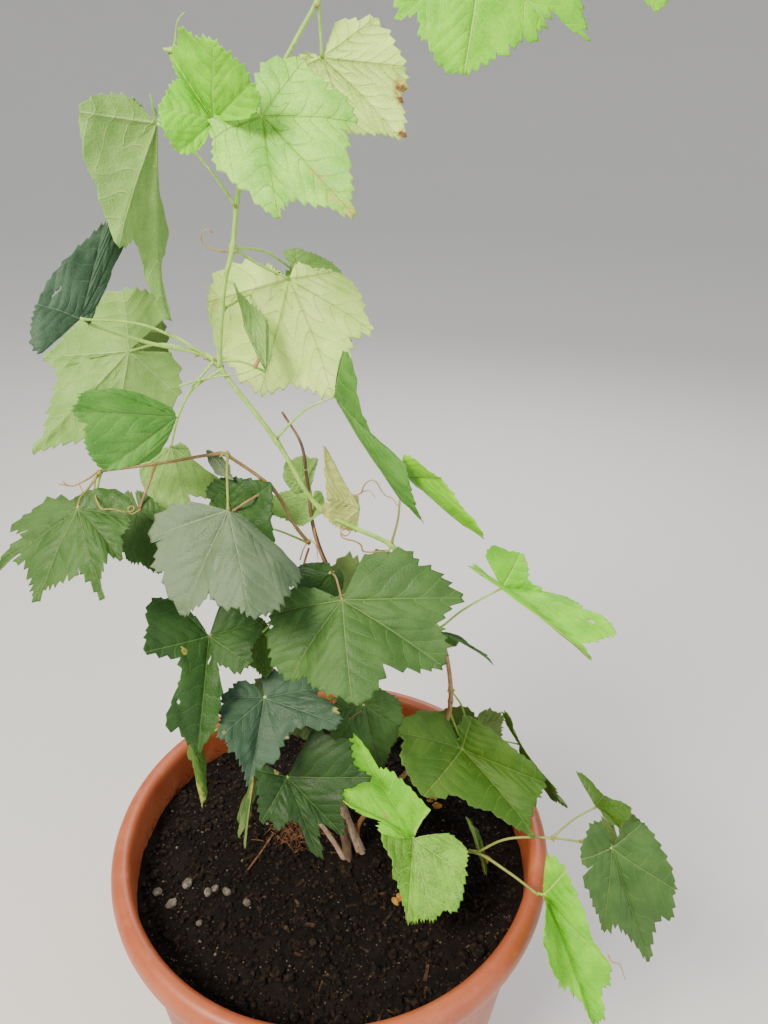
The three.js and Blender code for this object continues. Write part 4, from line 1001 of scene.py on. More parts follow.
        (-117.1, 68), (-104.1, 66), (-86.6, 52), (-85.1, 63), (-76.6, 68), (-70.6, 73), (-61.1, 82),
        (-50.1, 86), (-45.6, 86), (-44.6, 79), (-43.6, 64), (-38.6, 62), (-34.1, 57), (-28.1, 57),
        (-21.6, 62), (-17.1, 68), (-16.6, 77), (-13.6, 81), (-7.6, 79), (-2.1, 81), (-0.6, 89), (0, 100),
        (2.6, 93), (8.1, 85), (15.6, 81), (23.1, 79), (30.6, 78), (37.6, 81), (40.6, 76), (45.1, 80),
        (50.1, 86), (56.6, 83), (63.1, 73), (73.1, 66), (84.6, 67), (93.1, 61), (104.1, 66), (114.6, 61),
        (120.6, 56), (129.1, 57), (137.1, 50), (139.1, 35), (139.6, 15)],
    "front_dark_leaf": [(-174.6, 67), (-173.1, 66), (-164.6, 62), (-153.1, 60), (-151.6, 66), (-146.1, 67),
        (-139.6, 60), (-130.1, 56), (-122.6, 54), (-112.6, 55), (-107.6, 62), (-104.1, 66), (-103.1, 58),
        (-95.1, 56), (-91.6, 54), (-91.1, 50), (-88.1, 44), (-82.1, 48), (-73.6, 51), (-66.6, 57),
        (-60.1, 61), (-56.6, 70), (-51.6, 78), (-50.1, 86), (-49.6, 81), (-46.6, 70), (-40.1, 62),
        (-26.6, 53), (-20.1, 62), (-10.6, 71), (-9.6, 80), (-6.6, 89), (0, 100), (4.1, 95), (4.6, 88),
        (5.1, 81), (5.6, 73), (6.1, 63), (10.6, 58), (18.6, 54), (24.6, 59), (29.1, 64), (32.1, 72),
        (36.6, 80), (40.6, 75), (43.6, 67), (47.1, 78), (50.1, 86), (55.6, 77), (62.1, 71), (70.6, 61),
        (80.6, 59), (92.1, 52), (98.6, 58), (104.1, 66), (110.6, 54), (111.1, 40), (111.6, 25), (112.1, 12)],
    "lit_low_leaf": [(-118.1, 35), (-112.6, 62), (-104.1, 66), (-81.1, 51), (-80.6, 60), (-80.1, 72),
        (-73.1, 78), (-72.6, 85), (-50.1, 86), (-42.1, 85), (-29.6, 78), (-16.6, 79), (-12.1, 87),
        (-7.1, 93), (0, 100), (6.6, 107), (7.6, 101), (8.1, 92), (8.6, 85), (11.1, 80), (23.1, 92),
        (28.6, 94), (33.6, 96), (38.6, 96), (43.1, 94), (47.6, 93), (50.1, 86), (50.6, 64), (51.6, 40),
        (52.1, 21)],
    "front_low_leaf": [(-105.6, 16), (-105.1, 32), (-104.6, 49), (-104.1, 66), (-100.6, 75), (-96.6, 81),
        (-89.1, 88), (-84.1, 90), (-74.1, 87), (-59.6, 82), (-50.1, 86), (-42.6, 87), (-36.1, 92),
        (-30.1, 95), (-23.6, 99), (-18.6, 98), (-15.1, 93), (-11.1, 92), (-4.1, 95), (0, 100), (7.6, 89),
        (23.1, 81), (40.1, 81), (50.1, 86), (52.6, 80), (55.1, 75), (61.1, 72), (66.1, 71), (70.6, 68),
        (78.1, 72), (80.6, 67), (85.6, 64), (91.6, 67), (97.1, 71), (104.1, 66), (105.6, 42), (106.1, 18)],
    "curled_leaf": [(-102.6, 51), (-98.1, 99), (-88.6, 114), (-79.6, 107), (-50.1, 86), (-34.6, 81),
        (-34.1, 98), (-33.6, 118), (0, 100), (10.6, 82), (36.1, 68), (41.1, 74), (50.1, 86), (80.6, 113),
        (94.1, 141), (94.6, 120), (95.1, 103), (95.6, 88), (96.1, 76), (104.1, 66), (111.6, 48)],
    "light_slip_leaf": [(-114.1, 53), (-104.1, 66), (-80.6, 63), (-58.6, 70), (-50.1, 86), (-32.6, 85),
        (-10.1, 90), (0, 100), (0.6, 88), (6.1, 73), (8.1, 58), (10.6, 40), (83.6, 55), (104.1, 66)],
    "left_pale_back_leaf": [(-116.6, 65), (-104.1, 66), (-69.1, 43), (-53.6, 61), (-50.1, 86), (-39.1, 92),
        (-30.1, 100), (-19.6, 84), (-7.6, 74), (-5.6, 91), (0, 100), (12.1, 94), (26.6, 95), (40.6, 92),
        (50.1, 86), (73.6, 73), (104.1, 66), (117.1, 50), (134.6, 28)],
    "arch_leaf": [(-121.1, 16), (-120.6, 33), (-113.1, 52), (-104.1, 66), (-96.1, 69), (-84.6, 69),
        (-76.6, 73), (-65.6, 77), (-65.1, 87), (-64.6, 78), (-64.1, 68), (-63.6, 58), (-61.6, 52),
        (-51.1, 55), (-43.6, 60), (-38.1, 61), (-31.6, 70), (-26.6, 65), (-23.6, 70), (-18.1, 72),
        (-14.1, 81), (-11.6, 78), (-9.1, 85), (-5.6, 89), (-2.1, 95), (0, 100), (3.1, 99), (7.1, 99),
        (13.1, 96), (16.6, 95), (19.6, 89), (27.1, 83), (31.6, 83), (37.1, 76), (45.1, 71), (48.6, 78),
        (50.1, 86), (56.6, 79), (67.6, 76), (83.1, 76), (96.6, 71), (104.1, 66), (114.1, 49), (119.1, 27),
        (119.6, 12)],
}
print("leaves with an outline of their own:", len(OUTLINES))

# %% Teeth along an outline
TOOTH_PITCH = 0.105
TOOTH_HEIGHT = 0.040
BULGE = 0.05
TOOTH_LEANING_ON = [(0.30, 0.26), (0.58, 0.68), (0.80, 1.0)]
NO_TOOTH, TOOTH_ROOM = 0.03, 0.05
LEAST_TURN = 0.12
NEAR_VEIN = 1.5


def flat(angle, reach):
    return Vector((reach * sin(radians(angle)), reach * cos(radians(angle)), 0))


def corners_of(name, bays):
    if name in OUTLINES:
        return [(angle, hundredths / 100) for angle, hundredths in OUTLINES[name]]
    right = [(angle, reach * bays.get(angle, 1.0)) for angle, reach in CORNERS]
    return [(-angle, reach) for angle, reach in right[:0:-1]] + right


def toothed(rng, corners, teeth):
    """Points round the blade from its left heel over the tip to its right heel, as (angle, reach)."""
    points = [flat(*corners[0])]
    for (angle_a, reach_a), (angle_b, reach_b) in zip(corners, corners[1:]):
        a, b = flat(angle_a, reach_a), flat(angle_b, reach_b)
        run = b - a
        outward = Vector((-run.y, run.x, 0)).normalized()
        count = max(1, round(run.length / (TOOTH_PITCH * rng.uniform(0.75, 1.3))))
        profile = TOOTH_LEANING_ON
        if reach_a > reach_b:
            profile = [(1 - along, lift) for along, lift in reversed(TOOTH_LEANING_ON)]
        # too short a run has no tooth, and one a little longer a low one
        room = min(1.0, max(0.0, run.length / count - NO_TOOTH) / TOOTH_ROOM)
        for k in range(count):
            height = teeth * TOOTH_HEIGHT * rng.uniform(0.45, 1.4) * room
            for along, lift in profile + [(1.0, 0.0)]:
                share = (k + along) / count
                bulge = BULGE * run.length * 4 * share * (1 - share)
                points.append(a + run * share + outward * (bulge + height * lift))
        points[-1] = b
    outline = [(degrees(atan2(p.x, p.y)), p.length) for p in points]
    steady = [outline[0]]
    for angle, reach in outline[1:]:
        last = steady[-1][0]
        near_last = last + (angle - last + 180) % 360 - 180
        steady.append((max(near_last, last + LEAST_TURN), reach))
    return steady


def on_veins(columns):
    """Makes one column lie exactly on each main vein, so that the vein is drawn sharp."""
    for vein in VEIN_ANGLES:
        nearest = min(range(len(columns)), key=lambda k: abs(columns[k][0] - vein))
        if abs(columns[nearest][0] - vein) < NEAR_VEIN:
            columns[nearest] = (vein, columns[nearest][1])
        elif columns[0][0] < vein < columns[-1][0]:
            after = next(k for k, column in enumerate(columns) if column[0] > vein)
            (angle_a, reach_a), (angle_b, reach_b) = columns[after - 1], columns[after]
            share = (vein - angle_a) / (angle_b - angle_a)
            columns.insert(after, (vein, reach_a + (reach_b - reach_a) * share))
    return columns


def leaf_outline(rng, name, bays, teeth):
    return on_veins(toothed(rng, corners_of(name, bays), teeth))


print("columns round a leaf:", len(leaf_outline(random.Random(1), "", {}, 1.0)))

# %% [markdown]
# The blade is a fan. Its five main veins point from the joint to the lobe tips in space, and any
# direction between two veins is a mix of both, so a leaf can fold along its veins as real ones
# do. Between veins the blade swells up, between side veins it puckers, and a slow noise ruffles
# its edge. A grid is laid over this: its columns run from joint to edge, its rings round it.

# %% One leaf blade
RINGS = 28
RING_CROWDING = 0.85
MAIN_VEIN_WIDTH = 0.0076
SIDE_VEIN_SPACING = 0.150
SIDE_VEIN_SLANT = 0.66
SIDE_VEIN_CURVE = 0.4
SIDE_VEIN_STAGGER = 0.22
SWELL = 0.055
PUCKER = 0.0032
VEIN_SINK = 0.009
RUFFLE = 0.055
ARCH = 0.05
BLADE_THICKNESS = 0.38 * MM
HEEL_FROM_MIDRIB, HEEL_FROM_SIDE = 0.2, 0.8
SECTOR_BLUR = 14
JOINT_REACH, JOINT_WELD = 0.12, 0.006


def mix_of(angle, angle_a, arm_a, angle_b, arm_b):
    span, part = radians(angle_b - angle_a), radians(angle - angle_a)
    share_b = sin(part) / sin(span)
    return arm_a * (cos(part) - share_b * cos(span)) + arm_b * share_b


class Fan:
    """The leaf's veins in space, and the directions and normals between them."""

    def __init__(self, row):
        side, joint, tip, left, right, left_base, right_base = row[2:9]
        self.joint = place(*joint)
        midrib = place(*tip) - self.joint
        self.arms = {0: midrib}
        for sign, side_spot, base_spot in ((-1, left, left_base), (1, right, right_base)):
            base = (place(*base_spot) - self.joint) / BASE_REACH
            self.arms[sign * SIDE_ANGLE] = (place(*side_spot) - self.joint) / SIDE_REACH
            self.arms[sign * BASE_ANGLE] = base
            from_midrib = mix_of(HEEL_ANGLE, 0, midrib, BASE_ANGLE, base)
            from_side = mix_of(HEEL_ANGLE, SIDE_ANGLE, self.arms[sign * SIDE_ANGLE], BASE_ANGLE, base)
            self.arms[sign * HEEL_ANGLE] = from_midrib * HEEL_FROM_MIDRIB + from_side * HEEL_FROM_SIDE
        sized = (0, SIDE_ANGLE, -SIDE_ANGLE, BASE_ANGLE, -BASE_ANGLE)
        self.size = sum(self.arms[angle].length for angle in sized) / len(sized)
        stops = (-HEEL_ANGLE, -BASE_ANGLE, -SIDE_ANGLE, 0, SIDE_ANGLE, BASE_ANGLE, HEEL_ANGLE)
        facing = 1 if side == "top" else -1
        self.sectors = []
        for low, high in zip(stops, stops[1:]):
            normal = self.arms[high].cross(self.arms[low]).normalized() * facing
            self.sectors.append((low, high, normal))

    def arm(self, angle):
        for low, high, _ in self.sectors:
            if angle <= high or high == HEEL_ANGLE:
                return mix_of(angle, low, self.arms[low], high, self.arms[high])

    def normal(self, angle):
        total = Vector((0, 0, 0))
        for low, high, normal in self.sectors:
            off = max(low - angle, angle - high, 0)
            total += normal * exp(-(off / SECTOR_BLUR) ** 2)
        return total.normalized()


def vein_place(angle, reach):
    """How far along the nearest main vein, how far off it, and which flank of it this is."""
    nearest = min(VEIN_ANGLES, key=lambda vein: abs(angle - vein))
    turn = radians(angle - nearest)
    return reach * cos(turn), reach * abs(sin(turn)), 1 if turn > 0 else -1


def side_vein_count(angle, reach, spacing, start):
    """A whole number on every side vein. They bend towards the edge, and the two flanks alternate."""
    along, across, flank = vein_place(angle, reach)
    stagger = SIDE_VEIN_STAGGER * flank * min(1.0, across / 0.03) * max(0.0, min(1.0, (0.2 - across) / 0.1))
    return (along - SIDE_VEIN_SLANT * across - SIDE_VEIN_CURVE * across ** 2) / spacing + start + stagger


def between_veins(angle):
    size = abs(angle)
    stops = (0, SIDE_ANGLE, BASE_ANGLE, HEEL_ANGLE + 20)
    for low, high in zip(stops, stops[1:]):
        if size <= high:
            return (size - low) / (high - low)
    return 1.0


def blade_lift(angle, reach, edge_share, count, seed, ruffle, arch):
    """How far the blade stands off its flat fan, as a share of the leaf's size."""
    _, across, _ = vein_place(angle, reach)
    swell = SWELL * reach * sin(pi * between_veins(angle))
    room = min(1.0, across / 0.05) * min(1.0, reach / 0.2)
    pucker = PUCKER * (0.5 - 0.5 * cos(2 * pi * count)) * room
    sink = -VEIN_SINK * exp(-(across / 0.016) ** 2) * min(1.0, reach / 0.1)
    spot = flat(angle, reach)
    wave = noise.noise(spot * 2.6 + seed) + 0.45 * noise.noise(spot * 6.5 + seed)
    bend = arch * 4 * reach * (1 - reach) if reach < 1 else 0.0
    return swell + pucker + sink + ruffle * wave * edge_share ** 1.6 + bend


def add_blade(bm, row, layer, options):
    name = row[0]
    fan = Fan(row)
    rng = random.Random(name)
    columns = leaf_outline(rng, name, options.get("bays", {}), options.get("teeth", 1.0))
    seed = Vector((rng.uniform(0, 50), rng.uniform(0, 50), rng.uniform(0, 50)))
    spacing = SIDE_VEIN_SPACING * rng.uniform(0.88, 1.15)
    start = rng.random()
    ruffle = options.get("ruffle", RUFFLE) * rng.uniform(0.8, 1.2)
    arch = ARCH * rng.uniform(0.7, 1.3)
    scorches = options.get("scorch", [])
    across_count = len(columns) - 1
    arms = [fan.arm(angle) for angle, reach in columns]
    normals = [fan.normal(angle) for angle, reach in columns]
    made = bmesh.ops.create_grid(bm, x_segments=across_count, y_segments=RINGS, size=1.0)["verts"]
    flats = {}
    for vert in made:
        i, j = grid_place(vert, across_count, RINGS)
        angle, edge = columns[i]
        share = (j / RINGS) ** RING_CROWDING
        reach = edge * share
        count = side_vein_count(angle, reach, spacing, start)
        lift = blade_lift(angle, reach, share * min(1.0, edge / 0.5), count, seed, ruffle, arch)
        vert.co = fan.joint + arms[i] * reach + normals[i] * lift * fan.size
        across = vein_place(angle, reach)[1]
        burn = max((strength * (1 - (flat(angle, reach) - Vector((x, y, 0))).length / radius)
                    for x, y, radius, strength in scorches), default=0.0)
        vert[layer] = (count, across / (MAIN_VEIN_WIDTH * (1.25 - 0.6 * reach)), max(burn, 0.0))
        flats[vert] = flat(angle, reach)
    faces = set(f for v in made for f in v.link_faces)
    for x, y, radius in options.get("holes", []):
        chewed_hole(bm, faces, flats, Vector((x, y, 0)), radius)
    faces = set(f for f in faces if f.is_valid)
    for face in faces:
        face.smooth = True
    facing = sum((f.normal.dot(fan.normal(0)) * f.calc_area() for f in faces_with_normals(faces)), 0.0)
    if facing < 0:
        bmesh.ops.reverse_faces(bm, faces=list(faces))
    near = [v for v in flats if v.is_valid and flats[v].length < JOINT_REACH]
    bmesh.ops.remove_doubles(bm, verts=near, dist=JOINT_WELD * fan.size)


def faces_with_normals(faces):
    for face in faces:
        face.normal_update()
    return faces


def chewed_hole(bm, faces, flats, centre, radius):
    """Opens a hole by deleting the faces that lie wholly inside a circle, so its edge stays ragged."""
    inside = set(v for v in flats if v.is_valid and (flats[v] - centre).length < radius)
    doomed = [f for f in faces if f.is_valid and all(v in inside for v in f.verts)]
    bmesh.ops.delete(bm, geom=doomed, context="FACES")


print("fan directions are worked out for five veins and two heels")

# %% [markdown]
# Some leaves have marks of their own: deeper bays between the lobes, lower teeth, a weaker or
# stronger ruffle, a hole, or a scorched spot. All are given in the unit leaf, where the midrib runs
# from (0, 0) to (0, 1) and x grows to the right-hand lobe.

# %% Marks on single leaves
MARKS = {
    "arch_leaf": {"ruffle": 0.04},
    "tip_leaf": {"scorch": [(-0.44, 0.68, 0.15, 1), (-0.33, 0.77, 0.13, 1), (-0.05, 0.98, 0.09, 1)],
                 "ruffle": 0.04},
    "young_leaf": {"scorch": [(0.02, 0.97, 0.06, 1)]},
    "upper_leaf": {"scorch": [(0.0, 0.62, 0.16, 0.3), (0.02, 0.80, 0.15, 0.36), (0.02, 0.96, 0.12, 0.5)]},
    "dark_left_leaf": {"holes": [(-0.46, 0.52, 0.045), (-0.41, 0.53, 0.045)]},
    "right_leaf": {"holes": [(-0.01, 0.79, 0.055)], "ruffle": 0.03, "teeth": 0.6},
    "left_lobed_leaf": {"holes": [(0.27, 0.73, 0.045), (-0.05, 0.24, 0.045)],
                        "scorch": [(0.27, 0.30, 0.035, 1)]},
    "blue_leaf": {"scorch": [(-0.73, 0.31, 0.09, 0.7), (-0.26, 0.56, 0.04, 0.3), (0.60, 0.50, 0.07, 0.3)]},
    "brown_tip_leaf": {"scorch": [(0.22, 0.99, 0.13, 1)]},
    "centre_leaf": {"scorch": [(-0.60, 0.66, 0.06, 0.5)]},
    "front_dark_leaf": {"scorch": [(0.17, -0.08, 0.06, 0.8)]},
    "lit_low_leaf": {"scorch": [(-0.28, 0.29, 0.05, 0.9)]},
    "yellow_leaf": {"holes": [(-0.30, 0.16, 0.05)], "ruffle": 0.09},
    "curled_leaf": {"scorch": [(0.0, 0.12, 0.42, 0.5)], "teeth": 0.5},
    "light_slip_leaf": {"scorch": [(0.0, 0.8, 0.4, 0.35)], "ruffle": 0.02, "teeth": 0.5},
    "low_right_leaf": {"teeth": 0.55},
    "left_low_leaf": {"teeth": 0.6},
    "strip_leaf": {"teeth": 0.6, "ruffle": 0.03},
    "dry_leaf": {"scorch": [(0.0, -0.3, 0.5, 0.6)], "ruffle": 0.09, "teeth": 0.6},
    "left_pale_back_leaf": {"teeth": 0.4},
    "hanging_left_leaf": {"teeth": 0.5},
    "back_top_leaf": {"bays": {26: 0.92, 78: 0.90}},
    "back_middle_leaf": {"bays": {26: 0.88, 78: 0.86}},
    "back_centre_leaf": {"bays": {26: 0.90, 78: 0.90}},
    "back_rim_leaf": {"bays": {26: 0.86, 78: 0.90}},
}
LEAF_PIECE_FACES = 36000


def flush_blades(bm, tone, number, names):
    top, under = leaf_finishes[tone]
    nodes = [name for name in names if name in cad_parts]
    # each piece holds leaves of one tone, so its two materials carry one level of painted light
    piece = finished_piece(f"leaf_blades_{tone}_{number}", bm, [top, under], nodes,
                           turn_outward=False)
    sheet = piece.modifiers.new("blade thickness", "SOLIDIFY")
    sheet.thickness = BLADE_THICKNESS
    sheet.offset = -1.0
    sheet.material_offset = 1
    sheet.material_offset_rim = 1


def build_blades():
    for tone in leaf_finishes:
        bm, names, number = bmesh.new(), [], 1
        layer = bm.verts.layers.float_vector.new("leaf place")
        for row in LEAVES:
            if row[1] != tone:
                continue
            if len(bm.faces) > LEAF_PIECE_FACES:
                flush_blades(bm, tone, number, names)
                bm, names, number = bmesh.new(), [], number + 1
                layer = bm.verts.layers.float_vector.new("leaf place")
            add_blade(bm, row, layer, MARKS.get(row[0], {}))
            names.append(row[0])
        if names:
            flush_blades(bm, tone, number, names)
        else:
            bm.free()


build_blades()

# %% [markdown]
# Each blade hangs on a stalk that springs from a knot on a shoot, rises a little and then meets
# the blade from below. Stalks thicken at both ends. A few are seen well enough in the picture
# to give the bends between their two ends.

# %% Leaf stalks
STALK_BENDS = {
    "dark_behind_pale": [(262, 493, -12), (246, 502, -22)],
    "far_left_leaf": [(87, 490, -32), (80, 499, -46)],
    "shaded_leaf": [(338, 730, 0), (345, 722, -4)],
    "middle_leaf": [(260, 265, 12)],
    "left_low_leaf": [(192, 388, -6)],
    "left_pale_back_leaf": [(193, 389, 0), (179, 415, 6)],
    "brown_tip_leaf": [(398, 519, 0), (401, 493, 0)],
    "right_leaf": [(444, 625, 4), (460, 612, 4), (476, 602, 2)],
    "broad_pale_leaf": [(227, 470, -28)],
    "left_shade_leaf": [(151, 478, -13), (146, 491, -17)],
    "left_lobed_leaf": [(247, 616, -20)],
    "low_right_leaf": [(450, 712, 30), (460, 738, 22)],
}
RED_STALKS = ("left_lobed_leaf", "left_shade_leaf", "dark_behind_pale", "centre_leaf")
OLIVE_STALKS = ("broad_pale_leaf", "far_left_leaf", "brown_tip_leaf", "torn_leaf", "far_right_small_leaf")
STALK_RISE = 0.10
STALK_RADIUS = 0.95 * MM
STALK_STEP = 3.0 * MM
STALK_END = 3 * MM
STALK_AROUND = 8


def spring_of(row):
    wanted = place(*row[9])
    limb = min(limb_paths, key=lambda name: nearest_on(name, wanted)[2])
    run, point, _ = nearest_on(limb, wanted)
    return limb, run, point


def stalk_path(row):
    _, _, start = spring_of(row)
    joint = place(*row[3])
    bends = [place(*bend) for bend in STALK_BENDS.get(row[0], [])]
    if not bends:
        crest = (start + joint) / 2 + Vector((0, 0, STALK_RISE * (joint - start).length))
        bends = [crest]
    return smooth_path([start] + bends + [joint], STALK_STEP)


def stalk_radius(whole):
    def radius_at(distance, turn):
        share = distance / whole
        ends = exp(-(distance / STALK_END) ** 2) + 0.7 * exp(-((whole - distance) / STALK_END) ** 2)
        return STALK_RADIUS * (1.05 - 0.25 * share + 0.8 * ends) * (1 + 0.05 * cos(3 * turn))
    return radius_at


def build_stalks():
    names = [row[0] for row in LEAVES]
    green = [name for name in names if name not in RED_STALKS + OLIVE_STALKS]
    for name, group, finish in (("leaf_stalks_green", green, GREEN_SHOOT),
                                ("leaf_stalks_red", RED_STALKS, RED_STALK),
                                ("leaf_stalks_olive", OLIVE_STALKS, OLIVE_SHOOT)):
        bm = bmesh.new()
        for row in LEAVES:
            if row[0] in group:
                path = stalk_path(row)
                add_tube(bm, path, stalk_radius(distances(path)[-1]), STALK_AROUND)
        finished_piece(name, bm, [finish])


build_stalks()

# %% [markdown]
# With the springs of the stalks known, the limbs can be made: each gets a knot where a stalk
# leaves it and a small bud in the angle above.

# %% Limbs with their knots
LIMB_FINISHES = {
    "trunk": (CUT_WOOD, "bark"), "old_cane": (OLD_BARK, "bark"), "cut_stub_left": (CUT_WOOD, "bark"),
    "main_shoot_low": (RIPE_SHOOT, "ripening_shoot"), "brown_shoot": (BROWN_SHOOT, "ripening_shoot"),
    "low_right_shoot": (OLIVE_SHOOT, "ripening_shoot"), "low_right_branch": (OLIVE_SHOOT, "ripening_shoot"),
    "main_shoot_middle": (GREEN_SHOOT, "green_shoot"), "main_shoot_top": (GREEN_SHOOT, "green_shoot"),
    "main_shoot_tip": (GREEN_SHOOT, "green_shoot"), "left_shoot": (GREEN_SHOOT, "green_shoot"),
}
FREE_KNOTS = {
    "main_shoot_low": [(438, 631, 8), (445, 690, 8)],
    "main_shoot_middle": [(438, 631, 8), (391, 545, 3), (320, 508, 0), (277, 442, -1), (219, 367, 0)],
    "main_shoot_top": [(219, 367, 0), (232, 251, 1)],
    "brown_shoot": [(225, 453, -8), (155, 464, -12)],
}
BUD_RADIUS = 1.7 * MM
BARK_AROUND, SHOOT_AROUND = 24, 14


def build_limbs():
    knots = {name: [] for name in LIMBS}
    for row in LEAVES:
        limb, run, _ = spring_of(row)
        knots[limb].append(run)
    for limb, spots in FREE_KNOTS.items():
        knots[limb] += [nearest_on(limb, place(*spot))[0] for spot in spots]
    for name, (finish, slot) in LIMB_FINISHES.items():
        barked = slot == "bark"
        bm = bmesh.new()
        radius_at = limb_radius(name, [] if barked else knots[name], barked)
        add_tube(bm, limb_paths[name], radius_at, BARK_AROUND if barked else SHOOT_AROUND)
        finished_piece(name + "_wood", bm, [finish], [name])
    return knots


def build_buds(knots):
    bm = bmesh.new()
    rng = random.Random(21)
    for name, runs in knots.items():
        if LIMB_FINISHES[name][1] == "bark":
            continue
        path = limb_paths[name]
        along = distances(path)
        thick = LIMBS[name][0][0]
        for run in runs:
            index = min(range(1, len(path) - 1), key=lambda k: abs(along[k] - run))
            heading = (path[index + 1] - path[index - 1]).normalized()
            side = Matrix.Rotation(rng.uniform(0, 2 * pi), 3, heading) @ heading.orthogonal().normalized()
            lean = (side + heading * 0.9).normalized()
            turn = Vector((0, 0, 1)).rotation_difference(lean).to_matrix()
            made = bmesh.ops.create_icosphere(bm, subdivisions=2, radius=BUD_RADIUS)["verts"]
            for vert in made:
                point = (vert.co.z / BUD_RADIUS + 1) / 2
                vert.co.x *= 1.0 - 0.55 * point
                vert.co.y *= 0.8 - 0.45 * point
                vert.co.z *= 1.7
                vert.co = path[index] + side * thick * MM + turn @ vert.co
    all_smooth(bm)
    finished_piece("axil_buds", bm, [BUD_SCALE])


limb_knots = build_limbs()
build_buds(limb_knots)

# %% [markdown]
# Tendrils are thinner than a millimetre and end in a coil or a fork. They start at a knot,
# opposite a leaf. Some have dried brown.

# %% Tendrils
TENDRILS = [
    (0.90, [(392, 545, 3), (388, 551, 1), (377, 552, -1), (363, 551, -3), (361, 545, -4), (354, 541, -5),
            (349, 540, -6), (342, 537, -6), (341, 531, -5), (346, 528, -3), (350, 532, -2), (346, 536, -4),
            (341, 533, -7)]),
    (0.75, [(322, 509, 1), (338, 502, 3), (352, 496, 2), (361, 493, 0), (363, 488, -1), (366, 483, -2),
            (372, 480, -2), (377, 483, -2), (381, 490, -2), (386, 496, -2), (392, 498, -2), (395, 502, -3),
            (397, 506, -4)]),
    (0.50, [(361, 492, 0), (370, 491, -3), (375, 498, -5)]),
    (0.70, [(232, 251, 1), (219, 251, -3), (203, 243, -6), (201, 235, -8), (208, 229, -10), (213, 233, -9)]),
    (0.80, [(99, 470, -18), (91, 477, -20), (78, 484, -22), (73, 486, -23), (58, 484, -26)]),
    (0.50, [(73, 486, -23), (67, 485, -24), (62, 481, -26)]),
    (0.50, [(79, 484, -22), (82, 490, -24), (86, 494, -25)]),
    (0.70, [(98, 472, -18), (95, 482, -32), (95, 492, -46), (97, 501, -58), (102, 509, -64), (111, 509, -64),
            (120, 511, -64), (128, 512, -62), (134, 510, -60), (133, 506, -58), (128, 508, -60),
            (131, 514, -62), (141, 509, -58)]),
    (0.70, [(608, 955, -118), (612, 962, -122), (619, 964, -124), (625, 979, -126)]),
    (0.80, [(322, 739, 3), (338, 730, -8), (345, 722, -12), (361, 711, -16)]),
    (0.60, [(300, 560, 8), (304, 548, 4), (310, 540, 2), (316, 546, 0), (318, 560, -2)]),
    (0.55, [(262, 634, -16), (267, 660, -30), (270, 664, -32), (274, 667, -32), (272, 671, -33),
            (268, 668, -34)]),
]
GREEN_TENDRILS = [
    (0.85, [(179, 386, -10), (200, 380, -6), (222, 376, -3), (239, 374, -1), (252, 370, 0), (258, 365, 1)]),
    (0.50, [(273, 360, 2), (269, 366, 0), (266, 376, -2), (267, 388, -4), (265, 397, -5), (259, 391, -6)]),
    (0.75, [(172, 50, -9), (175, 42, -10), (176, 32, -10), (177, 24, -10), (180, 17, -10), (185, 12, -10)]),
    (1.9, [(178, 52, -10), (173, 50, -11), (168, 50, -10), (164, 49, -8)]),
    (0.9, [(171, 50, -9), (172, 58, -10), (175, 66, -9)]),
]
THIN_CANES = [
    (1.5, [(255, 368, 1), (257, 363, 1), (259, 359, 1)]),
    (1.0, [(309, 548, 12), (304, 564, 8), (299, 590, 6)]),
    (0.9, [(323, 569, 10), (302, 572, 4)]),
    (0.9, [(313, 524, 12), (317, 543, 9), (325, 562, 8), (332, 572, 8)]),
]
TENDRIL_STEP = 1.4 * MM
TENDRIL_AROUND = 7


def build_tendrils(name, table, finish, ends):
    bm = bmesh.new()
    for thick, spots in table:
        path = smooth_path([place(*spot) for spot in spots], TENDRIL_STEP)
        whole = distances(path)[-1]
        add_tube(bm, path, lambda d, turn, t=thick, w=whole: t * MM * (1 - (1 - ends) * d / w),
                 TENDRIL_AROUND)
    finished_piece(name, bm, [finish])


build_tendrils("tendrils", TENDRILS, TENDRIL, 0.5)
build_tendrils("green_tendrils", GREEN_TENDRILS, GREEN_SHOOT, 0.45)
build_tendrils("thin_canes", THIN_CANES, RIPE_SHOOT, 0.8)

# %% [markdown]
# A tangle of dry roots and a second old stub show where the trunk meets the compost.

# %% Roots and stubs
ROOT_COUNT = 210
LONG_ROOTS = [(1.5, [(246, 874), (254, 864), (263, 851), (271, 840), (280, 826)]),
              (0.7, [(296, 830), (310, 842), (322, 852), (338, 858)])]
SECOND_STUB = [(352, 870, -16), (347, 849, -12), (341, 820, -9)]
SECOND_STUB_RADIUS = 4.0 * MM
ROOT_HEAP = ((297, 11), (836, 7))


def on_soil(u, v, lift_mm):
    x, y = soil_spot(u, v)
    return Vector((x, y, soil_height(x, y) + lift_mm * MM))


def build_roots():
    rng = random.Random(31)
    bm = bmesh.new()
    for thick, spots in LONG_ROOTS:
        path = smooth_path([on_soil(u, v, 1.2 * thick) for u, v in spots], 2 * MM)
        add_tube(bm, path, lambda d, turn, t=thick: t * MM * (0.6 + 4 * d), around=9)
    for _ in range(ROOT_COUNT):
        u, v = [rng.gauss(middle, spread) for middle, spread in ROOT_HEAP]
        turn, length = rng.uniform(0, 2 * pi), rng.uniform(5, 15) * MM
        start = on_soil(u, v, rng.uniform(0.3, 6.0))
        spots = [start]
        for _ in range(3):
            turn += rng.uniform(-0.6, 0.6)
            last = spots[-1] + Vector((cos(turn), sin(turn), 0)) * length / 3
            last.z = soil_height(last.x, last.y) + rng.uniform(0.3, 8.0) * MM
            spots.append(last)
        path = smooth_path(spots, 3 * MM)
        add_tube(bm, path, lambda d, turn, r=rng.uniform(0.2, 0.45): r * MM, around=5)
    finished_piece("dry_roots", bm, [ROOT_FIBRE])


